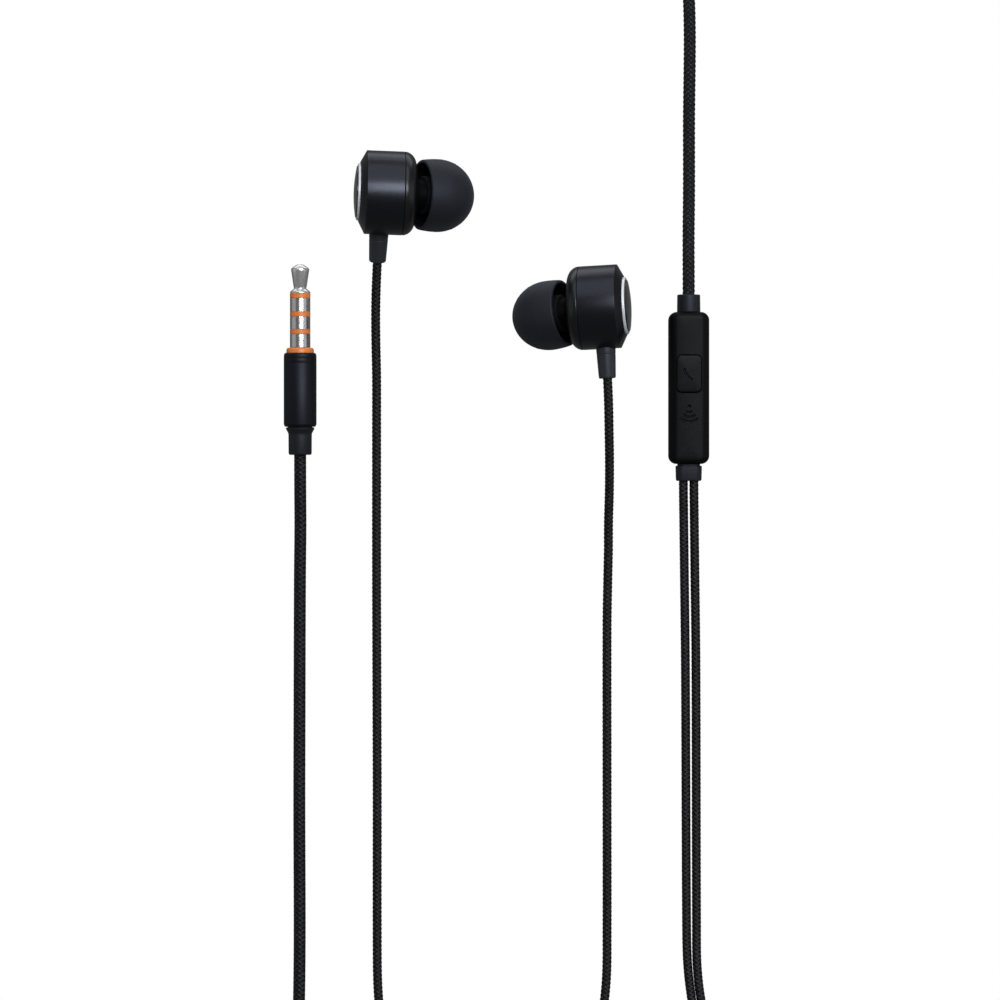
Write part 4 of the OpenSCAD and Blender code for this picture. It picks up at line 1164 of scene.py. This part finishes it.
class CordSet:
    """The three braided cords, which hang from the plug, the remote and the two buds."""

    relief_at: float = -3.8
    relief_end: float = -12.1
    root: tuple[float, float] = (-5.7, -15.1)
    top_collar: tuple[float, float, float] = (26.7, 3.6, 2.6)

    def __init__(self, buds: dict[Side, BudAxes]) -> None:
        """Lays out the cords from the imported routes.

        Args:
            buds: Axes of the two buds, which the thin cords hang from.
        """
        self.buds = buds
        self.main = Cord(
            "main_braided_cord", "plug", 0.81, 2.0, "thick_braid", 0.82, 20,
            [(26.7, 0.2, 2.6), (26.7, 5, 2.6), (26.7, 13, 2), (26.8, 22, 1.2), (26.8, 32, 1), (26.8, 54, 1),
             (25.7, 58, 1), (22.8, 60.9, 1), (18.8, 62, 1), (-14, 62, 1), (-48, 62, 1), (-81.3, 62, 1),
             (-87.3, 60.4, 1), (-91.7, 56, 1), (-93.3, 50, 1), (-93.3, 12, 1), (-93.3, -26, 1),
             (-93.3, -64, 1), (-93.3, -106, 1), (-93.1, -114, 1), (-92.3, -121, 1), (-91.2, -128, 1.1),
             (-90.1, -135.4, 1.3)],
            Coil((-77.5, -135.4), 4.25, 10.5),
            [(-77.5, -148, 3.3), (-73, -148, 3), (-68.9, -148, 2.3), (-61.4, -147, 1.4), (-54.4, -144.1, 1),
             (-48.4, -139.5, 1), (-43.8, -133.5, 1), (-40.9, -126.5, 1), (-39.9, -119, 1), (-39.8, -80, 1),
             (-39.7, -45, 1), (-39.6, -36, 1.5), (-39.6, -30, 2.4), (-39.6, -24, 2.8), (-39.6, -17.5, 2.8)])
        self.left = Cord(
            "left_braided_cord", "object", 0.42, 1.5, "thin_braid", 0.72, 16,
            [(-26.7, 1, 3.2), (-26.7, -4, 2), (-26.6, -10, 1.1), (-26.6, -17, 0.75), (-26.6, -45, 0.75),
             (-26.5, -80, 0.75), (-26.5, -106, 0.75), (-26.4, -114, 0.75), (-25.9, -121, 0.75),
             (-25.1, -128, 0.8), (-24.5, -135, 1.05)],
            Coil((-15.6, -135), 2.25, 8),
            [(-15.6, -143.9, 2.55), (-11, -143.9, 2.2), (-5, -143.9, 1.2), (2, -144, 0.75),
             (19.5, -144, 0.75), (24.1, -143.1, 0.75), (28, -140.5, 0.75), (30.6, -136.6, 0.75),
             (31.5, -132, 0.75),
             (31.3, -127, 0.75), (30.2, -122, 0.75), (28.9, -117, 0.75), (28.2, -111, 0.75),
             (28.1, -104, 0.75), (28, -60, 0.75), (27.8, -42, 0.75), (27.7, -35, 1.3), (27.6, -29.5, 2.5),
             (27.6, -24.6, 2.6)])
        self.right = Cord(
            "right_braided_cord", "object", 0.41, 1.5, "thin_braid", 0.72, 16,
            [(13, -20, 8.9), (13.1, -25, 7.3), (13.1, -30, 5.4), (13, -35, 3.6), (13, -40, 2.1),
             (12.9, -46, 1.1), (12.8, -53, 0.75), (12.8, -80, 0.75), (12.8, -106, 0.75), (12.7, -113, 0.75),
             (12.1, -119, 0.75), (11.1, -125, 0.8), (10.3, -131.5, 1.05)],
            Coil((19.6, -131.5), 3.5, 8),
            [(28.9, -131.5, 2.55), (28.8, -127, 2.2), (28.2, -122, 1.4), (27.3, -117, 0.9),
             (26.6, -111, 0.75), (26.4, -104, 0.75), (26.2, -60, 0.75), (26, -42, 0.75),
             (25.9, -35, 1.3), (25.8, -29.5, 2.5), (25.8, -24.6, 2.6)])

    def build(self, finishes: Finishes, plug: list[Piece]) -> None:
        """Builds the three cords, each from where it leaves its strain relief or collar.

        Args:
            finishes: The material set.
            plug: The pieces at the end of the main cord.
        """
        self.main.build(Vector(self.top_collar) * MM, finishes, plug)
        for side, cord in ((Side.LEFT, self.left), (Side.RIGHT, self.right)):
            cord.root = [self.buds[side].spot(self.relief_at, y, 0) for y in self.root]
            cord.build(self.buds[side].spot(self.relief_at, self.relief_end, 0), finishes, [])


# ---------------------------------------------------------------- plug


@dataclass
class Plug:
    """Straight plug: stepped contacts between insulators, a collar, a satin barrel and a soft tail."""

    shoulder: tuple[float, float, float] = (-39.6, -5.4, 2.8)
    contact_r: float = 1.75
    sleeve_len: float = 2.3
    ring_lens: tuple[float, float] = (2.2, 2.35)
    insulator_len: float = 0.8
    tip_len: float = 14.2
    collar: tuple[float, float] = (4.7, 0.9)
    barrel_d: float = 5.6
    barrel_len: float = 12.6
    grooves: tuple[float, float] = (0.95, 1.75)
    tail: tuple[float, float, float] = (4.85, 4.0, 4.55)
    cord_d: float = 2.0

    def turn(self, name: str, finish: Material, node: str, slot: str, *outlines: Profile) -> Piece:
        """Turns one or more outlines as one piece, X from the plug's shoulder towards its tip."""
        axes = Matrix.Translation(Vector(self.shoulder) * MM) @ Matrix.Scale(MM, 4) @ spin(90, "Z")
        first, *others = [lathe(name, outline, axes, finish) for outline in outlines]
        join(first, *others)
        first.name = name
        return dress(first, node, "root")

    def band(self, start: float, length: float, radius: float) -> Profile:
        """Outline of one contact or insulator, with fine chamfers."""
        end = start + length
        return [(1.0, start + 0.005), (radius - 0.05, start + 0.005), (radius, start + 0.05),
                (radius, end - 0.05), (radius - 0.05, end - 0.005), (1.0, end - 0.005)]

    def point(self, head: float) -> Profile:
        """Outline of the point, with its waist, from its shoulder on the last insulator."""
        r, end = self.contact_r, self.tip_len
        return [(0.0, head + 0.005), (r - 0.06, head + 0.005), (r - 0.01, head + 0.06),
                (r - 0.01, head + 0.18), (1.66, head + 0.32), (1.34, head + 0.62), (1.08, head + 0.8),
                (1.06, head + 0.95), (1.12, head + 1.1), (1.5, end - 1.3), (1.55, end - 1.1),
                (1.55, end - 0.85), (1.47, end - 0.66), (0.8, end - 0.2), (0.62, end - 0.07),
                (0.42, end - 0.01), (0.0, end)]

    def barrel(self, front: float, back: float) -> Profile:
        """Outline of the barrel's shell, with two fine grooves near its front."""
        r = self.barrel_d / 2
        outline = [(2.15, front), (r - 0.32, front), (r - 0.1, front - 0.14), (r - 0.02, front - 0.4)]
        for mid in (front - groove for groove in self.grooves):
            outline += [(r, mid + 0.07), (r - 0.018, mid + 0.03), (r - 0.018, mid - 0.03), (r, mid - 0.07)]
        return outline + [(r, back + 0.5), (r - 0.04, back + 0.3), (r - 0.13, back + 0.1), (r - 0.25, back),
                          (2.15, back)]

    def soft_tail(self, back: float) -> Profile:
        """Outline of the soft tail, which narrows behind the barrel."""
        wide, narrow, long = self.tail
        start, end, bore = back - 0.1, back - 0.25 - long, self.cord_d / 2 - 0.03
        ease = [(wide / 2 + (narrow - wide) / 2 * (t * t * (3 - 2 * t)), start - 0.14 - 1.1 * t)
                for t in (k / 9 for k in range(1, 9))]
        return [(bore, back + 2.5), (2.1, back + 2.5), (2.1, start), (wide / 2 - 0.12, start),
                (wide / 2, start - 0.14), *ease, (narrow / 2, start - 1.5), (narrow / 2 - 0.02, end + 0.3),
                (narrow / 2 - 0.1, end + 0.08), (narrow / 2 - 0.25, end), (bore, end)]

    def build(self, finishes: Finishes) -> list[Piece]:
        """Builds the plug.

        Args:
            finishes: The material set.

        Returns:
            Its pieces, which hang on the main cord.
        """
        nickel, orange = finishes["contact_nickel"], finishes["orange_plastic"]
        gaps, rings, at = [], [], self.sleeve_len
        for length in self.ring_lens:
            gaps.append(self.band(at, self.insulator_len, self.contact_r))
            rings.append(self.band(at + self.insulator_len, length, self.contact_r - 0.01))
            at += self.insulator_len + length
        gaps.append(self.band(at, self.insulator_len, self.contact_r))
        width, length = self.collar
        rim = bow((width / 2 - 0.45, -0.45), (0.45, 0.43), 0, 90, 6)
        collar = [(1.0, -6.5), (2.1, -6.5), (2.1, -length), (width / 2, -length), *rim, (1.0, -0.02)]
        back = -length - self.barrel_len
        return [
            self.turn("plug_point", finishes["point_nickel"], "plug_tip", "contact_nickel",
                      self.point(at + self.insulator_len)),
            self.turn("plug_contact_rings", nickel, "plug_rings", "contact_nickel", *rings),
            self.turn("plug_insulator_rings", orange, "plug_insulators", "orange_plastic", *gaps),
            self.turn("plug_contact_sleeve", nickel, "plug_sleeve", "contact_nickel",
                      self.band(0.0, self.sleeve_len, self.contact_r)),
            self.turn("plug_collar", orange, "plug_core", "orange_plastic", collar),
            self.turn("plug_barrel_shell", finishes["barrel_coat"], "plug_barrel", "satin_barrel",
                      self.barrel(-length, back)),
            self.turn("plug_soft_tail", finishes["collar_rubber"], "plug_tail", "soft_rubber",
                      self.soft_tail(back))]


# ---------------------------------------------------------------- ties


@dataclass
class Ties:
    """Flat woven straps round the stored coils, each with a row of stitches."""

    width: float = 3.0
    thick: float = 0.3
    slack: float = 0.6
    soft: float = 0.08
    stitches: int = 7
    pitch: float = 0.38
    thread_r: float = 0.13
    seam_out: float = 0.6

    def strap(self, cord: Cord, turned: Matrix, finish: Material) -> Piece:
        """One closed strap round all the turns of a coil.

        Args:
            cord: The cord whose coil it holds.
            turned: Axes of the coil, in millimetres, turned to where the strap sits.
            finish: Its material.

        Returns:
            The strap.
        """
        spread = (cord.coil.turns / 2 + 1) * cord.thick + self.slack
        high = 2 * cord.thick + self.thick * 2
        axes = turned @ shift(cord.coil.mean_radius, 0, high / 2) @ spin(90, "X")
        outer = slab(spread + 2 * self.thick, high, 0.85, 6)
        inner = slab(spread, high - 2 * self.thick, 0.6, 6)
        half = self.width / 2
        rings = [(inner, -half), (outer, -half + self.soft), (outer, half - self.soft), (inner, half)]
        points = [axes @ Vector((x, y, z)) for ring, z in rings for x, y in ring]
        return new_piece("strap", points, skin(len(rings), len(outer), wrap=True), finish)

    def seam(self, cord: Cord, turned: Matrix, finish: Material) -> Piece:
        """A row of stitches across the top of one strap, from a node tree."""
        tree = Growth("strap_stitches")
        count = tree.number("Stitches", self.stitches)
        offset = tree.vector(Y=tree.number("Pitch", self.pitch * MM))
        row = tree.node("GeometryNodeMeshLine", {"Count": count, "Offset": offset})
        thread = tree.node("GeometryNodeMeshIcoSphere", {"Radius": self.thread_r * MM, "Subdivisions": 2})
        flat = tree.node("GeometryNodeTransform", {"Geometry": thread, "Scale": (1.9, 0.8, 0.45)})
        placed = tree.node("GeometryNodeInstanceOnPoints", {"Points": row, "Instance": flat})
        piece = tree.grow(placed, finish)
        place = (cord.coil.mean_radius + self.seam_out, -self.pitch / 2 * (self.stitches - 1),
                 2 * cord.thick + self.thick * 2)
        piece.data.transform(turned @ shift(*place) @ Matrix.Scale(1 / MM, 4))
        return piece

    def build(self, cords: CordSet, finish: Material) -> None:
        """Builds all three straps as one piece."""
        straps = []
        for cord, angle in ((cords.main, 60), (cords.left, 60), (cords.right, 90)):
            turned = Matrix.Scale(MM, 4) @ shift(*cord.coil.middle, 0) @ spin(angle, "Z")
            straps += [self.strap(cord, turned, finish), self.seam(cord, turned, finish)]
        join(*straps).name = "coil_straps"
        dress(straps[0], "cord_ties", "root")


# ---------------------------------------------------------------- remote


@dataclass
class Remote:
    """In-line remote: two shells with a fine seam, a button with a grooved mark, sound holes and collars."""

    middle: tuple[float, float] = (26.7, -12.3)
    width: float = 6.96
    length: float = 25.9
    height: float = 5.2
    corner: float = 1.4
    edge: float = 1.6
    end_edge: float = 0.9
    crown_rise: float = 0.2
    wall: float = 0.7
    seam: float = 0.05
    split_gap: float = 0.06
    button: tuple[float, float, float] = (4.3, 6.4, 0.8)
    button_at: float = 2.4
    gap: float = 0.1
    proud: float = 0.15
    key_edge: float = 0.22
    key_crown: float = 0.08
    flange: tuple[float, float] = (4.02, 4.42)
    nib_bottom: float = 3.65
    mic_at: float = -3.2
    mic_hole_d: float = 0.7
    arc_first: float = 0.92
    arc_step: float = 0.78
    arc_span: float = 39.0
    arc_width: float = 0.38
    neck_d: float = 3.0
    neck_play: float = 0.08
    neck_start: float = 1.25
    neck_step: float = 0.75
    top_collar: tuple[float, float] = (4.0, 3.0)
    low_collar: tuple[float, float, float] = (4.5, 3.0, 2.9)
    low_neck: tuple[float, float] = (3.9, 2.2)
    cord_d: tuple[float, float] = (2.0, 1.5)
    cord_gap: float = 0.9

    def __post_init__(self) -> None:
        """Works out millimetre axes: the underside's middle, Z to the top collar and Z to the low one."""
        self.axes = shift(self.middle[0] * MM, self.middle[1] * MM, 0) @ Matrix.Scale(MM, 4)
        self.up_axes, self.down_axes = [self.axes @ shift(0, 0, self.height / 2) @ spin(turn, "X")
                                        for turn in (-90, 90)]
        self.shoulder = self.height - self.crown_rise * (1 - self.edge / (self.width / 2)) ** 2

    def inset(self, z: float) -> Profile:
        """Outline of the body at a height, drawn in over its rounded edges."""
        depth = min(z, self.shoulder - z)
        side, end = [edge - math.sqrt(max(0.0, edge ** 2 - max(0.0, edge - depth) ** 2))
                     for edge in (self.edge, self.end_edge)]
        return slab(self.width - 2 * side, self.length - 2 * end, max(0.35, self.corner - 0.6 * side), 10)

    def crown(self) -> list[tuple[float, Profile]]:
        """Levels of the slightly crowned top face, from its rounded edges to its middle line."""
        levels, half = [], self.width / 2
        for k in range(1, 9):
            side = self.edge + (half - self.edge - 0.12) * k / 8
            width = self.width - 2 * side
            outline = slab(width, self.length - 2 * self.end_edge - 0.5 * k, min(0.45 * width, 0.5), 10)
            levels.append((self.height - self.crown_rise * (1 - side / half) ** 2, outline))
        return levels

    def half(self, name: str, heights: Sequence[float], near: float, top: list[tuple[float, Profile]],
             finish: Material) -> Piece:
        """One hollow half of the body, with its passages cut.

        Args:
            name: The piece's name.
            heights: Heights of its levels, upwards.
            near: The height that faces the seam.
            top: Further levels above them.
            finish: Its material.

        Returns:
            The half.
        """
        levels = [*((z, self.inset(z)) for z in heights), *top]
        lip = [(x * (1 - 2 * self.seam / self.width), y * (1 - 2 * self.seam / self.length))
               for x, y in self.inset(near)]
        reach = math.copysign(self.seam, self.height / 2 - near) * 0.8
        levels.insert(0 if near == heights[0] else len(levels), (near + reach, lip))
        piece = loft(name, levels, self.axes, finish)
        bay = slab(self.width - 2 * self.wall, self.length - 2 * self.wall, self.corner - self.wall / 2, 6)
        carve(piece, prism(bay, self.wall, self.height - self.wall, self.axes, finish))
        for axes, neck in ((self.up_axes, (self.neck_d, self.neck_d)), (self.down_axes, self.low_neck)):
            width, height = (size + self.neck_play for size in neck)
            passage = slab(width, height, min(width, height) / 2 - 0.01)
            carve(piece, prism(passage, self.length / 2 - 1.5, self.length / 2 + 1, axes, finish))
        return piece

    def shells(self, finish: Material) -> None:
        """Builds the front shell, with its button window and sound hole, and the back shell."""
        split = self.height / 2
        turn = [self.edge * (math.sin(math.radians(a)) - 1) for a in range(6, 91, 6)]
        rise = [split + self.split_gap, 2.9, self.shoulder - self.edge]
        rise += [self.shoulder + drop for drop in turn[:-1]]
        front = self.half("remote_front", rise, rise[0], self.crown(), finish)
        width, length, corner = self.button
        window = slab(width + 2 * self.gap, length + 2 * self.gap, corner + self.gap)
        for outline, at in ((window, self.button_at), (circle(self.mic_hole_d / 2), self.mic_at)):
            carve(front, prism(outline, split, self.height + 1, self.axes @ shift(0, at, 0), finish))
        carve(front, self.sound_arcs(finish))
        dress(front, "remote_front_shell", "root")
        fall = [*(-drop for drop in reversed(turn)), self.edge, 2.3, split - self.split_gap]
        back = self.half("remote_back", fall, fall[-1], [], finish)
        dress(back, "remote_back_shell", "root")

    def sound_arcs(self, finish: Material) -> Piece:
        """Makes the tool for three grooved arcs below the sound hole, from one node tree.

        Args:
            finish: The shell's material.

        Returns:
            The tool as a plain mesh.
        """
        tree = Growth("sound_arcs")
        count = tree.number("Arcs", 3)
        first = tree.number("First radius", self.arc_first * MM)
        step = tree.number("Radius step", self.arc_step * MM)
        span = tree.number("Half span", math.radians(self.arc_span))
        row = tree.node("GeometryNodeMeshLine", {"Count": count, "Offset": (0, 1, 0)})
        lines, share, which = tree.lines(row, 0, 25)
        radius, angle = first + which * step, (share * 2.0 + -1.0) * span
        spot = tree.vector(X=radius * angle.sin(), Y=radius * angle.cos() * -1.0)
        piece = tree.grow(tree.rods(lines, spot, self.arc_width * MM / 2, 12), finish)
        place = Vector((self.middle[0], self.middle[1] + self.mic_at, self.height - 0.03)) * MM
        piece.data.transform(Matrix.Translation(place))
        return piece

    def press_button(self, finish: Material) -> None:
        """Builds the button: a crowned cap, the flange that holds it in, its nib and the grooved mark."""
        width, length, corner = self.button
        top, seat = self.height + self.proud, self.flange[0]
        spot = self.axes @ shift(0, self.button_at, 0)
        levels = [(self.flange[1] - 0.1, slab(width, length, corner))]
        for a in (math.radians(degrees) for degrees in range(0, 91, 15)):
            draw, drop = self.key_edge * (1 - math.cos(a)), self.key_edge * (1 - math.sin(a))
            outline = slab(width - 2 * draw, length - 2 * draw, corner - draw / 2)
            levels.append((top - self.key_crown - drop, outline))
        for share in (1 - k / 6 for k in range(1, 6)):
            inner = [(size - 2 * self.key_edge) * share for size in (width, length)]
            outline = slab(*inner, (corner - self.key_edge / 2) * share)
            levels.append((top - self.key_crown * share ** 2, outline))
        cap = loft("remote_key", levels, spot, finish)
        flange = prism(slab(width + 0.7, length + 0.7, 0.6), *self.flange, spot, finish)
        nib_len = seat - self.nib_bottom + 0.1
        nib = lathe("key_nib", [(0, 0), (0.9, 0), (0.9, nib_len), (0, nib_len)],
                    spot @ shift(0, 0, self.nib_bottom) @ spin(-90, "Y"), finish, around=32)
        carve(cap, self.handset_mark(spot, top, finish))
        dress(join(cap, flange, nib), "remote_button", "button")

    def handset_mark(self, spot: Matrix, top: float, finish: Material) -> Piece:
        """The tool for a plain grooved handset: one bent stroke that swells at both ends.

        Args:
            spot: Axes of the button.
            top: Height of its crown, in millimetres.
            finish: Its material.

        Returns:
            The stroke as a closed piece.
        """
        start, bend, end = Vector((-0.88, 0.95)), Vector((-0.6, -0.4)), Vector((0.6, -1.02))
        steps, sides, points = 28, 12, []
        for t in (i / steps for i in range(steps + 1)):
            middle = quadratic(start, bend, end, t)
            side = ((bend - start) * (1 - t) + (end - bend) * t).normalized().orthogonal()
            swell = 0.19 + 0.12 * (math.exp(-((t / 0.14) ** 2)) + math.exp(-(((1 - t) / 0.14) ** 2)))
            taper = math.sqrt(max(0.02, 1 - (2 * t - 1) ** 16))
            for a in circle_steps(sides):
                flat = middle + side * (swell * taper * math.cos(a))
                points.append(spot @ Vector((*flat, top - 0.03 + 0.18 * taper * math.sin(a))))
        return new_piece("key_mark", points, skin(steps + 1, sides), finish, sharp_deg=60)

    def collars(self, finish: Material) -> None:
        """Builds the round top collar and the flat low collar, with holes for their cords."""
        out = self.length / 2
        start, step = out - self.neck_start, out - self.neck_step
        width, length = self.top_collar
        inner, end = self.cord_d[0] / 2 - 0.02, out + length
        neck_r, r = self.neck_d / 2, width / 2
        outline = rounded([(inner, start), (1.7, start), (1.7, step), (neck_r, step), (neck_r, out + 0.02),
                           (r, out + 0.02), (r - 0.04, end - 0.15), (r - 0.15, end), (inner, end)],
                          radius=0.1)
        top = lathe("top_collar", outline, self.up_axes @ spin(-90, "Y"), finish, around=64)
        dress(top, "remote_top_collar", "root")
        width, height, length = self.low_collar
        end, neck = out + length, slab(*self.low_neck, 1.0)
        foot = slab(self.low_neck[0] + 0.2, height + 0.4, 1.2)
        levels = [(start, foot), (step, foot), (step, neck), (out + 0.3, neck)]
        levels += [(z, slab(width - draw, height - draw, corner)) for z, draw, corner in (
            (out + 0.3, 0.3, 1.1), (out + 0.42, 0.0, 1.2), (end - 0.3, 0.1, 1.2), (end - 0.08, 0.25, 1.1),
            (end, 0.55, 1.0))]
        low = loft("low_collar", levels, self.down_axes, finish)
        for x in (-self.cord_gap, self.cord_gap):
            carve(low, prism(circle(self.cord_d[1] / 2, x), out - 2, end + 1, self.down_axes, finish))
        dress(low, "remote_low_collar", "root")

    def build(self, finishes: Finishes) -> None:
        """Builds every piece of the remote that shows."""
        self.shells(finishes["remote_plastic"])
        self.press_button(finishes["button_plastic"])
        self.collars(finishes["collar_rubber"])


# ---------------------------------------------------------------- insides


BUD_INSIDES = {
    "foam": ("driver_gasket",), "frame_metal": ("driver_frame",), "film": ("diaphragm",),
    "copper": ("voice_coil", "lead_wires"), "iron": ("pole_plate", "yoke"), "magnet_nickel": ("magnet",),
    "circuit_board": ("terminal_board",), "felt": ("damping_felt",)}
REMOTE_INSIDES = {
    "circuit_board": ("remote_board",), "chip_plastic": ("board_chips", "switch_plunger"),
    "frame_metal": ("switch_body",), "foam": ("mic_gasket",), "felt": ("microphone",),
    "copper": ("remote_wires",)}


def dress_insides(finishes: Finishes) -> None:
    """Gives the driver, board and wiring solids, which stay as packed, their finishes."""
    rows = [(f"{side.value}_{name}", key)
            for side in Side for key, names in BUD_INSIDES.items() for name in names]
    rows += [(name, key) for key, names in REMOTE_INSIDES.items() for name in names]
    for name, key in rows:
        for place in frame["nodes"][name].material_slots:
            place.material = finishes[key]
    LOG.info("%d inner solids dressed", len(rows))


def main() -> None:
    """Builds every sub-assembly in order."""
    logging.basicConfig(level=logging.INFO, format="%(name)s: %(message)s")
    studio = Studio()
    studio.aim()
    finishes = make_finishes()
    buds = {side: BudAxes(side) for side in Side}
    cords = CordSet(buds)
    cords.build(finishes, Plug().build(finishes))
    Ties().build(cords, finishes["strap"])
    for axes in buds.values():
        Bud(axes, 12.4 if axes.side is Side.LEFT else 11.8).build(finishes)
    Remote().build(finishes)
    dress_insides(finishes)
    studio.light()


if __name__ == "__main__":
    main()
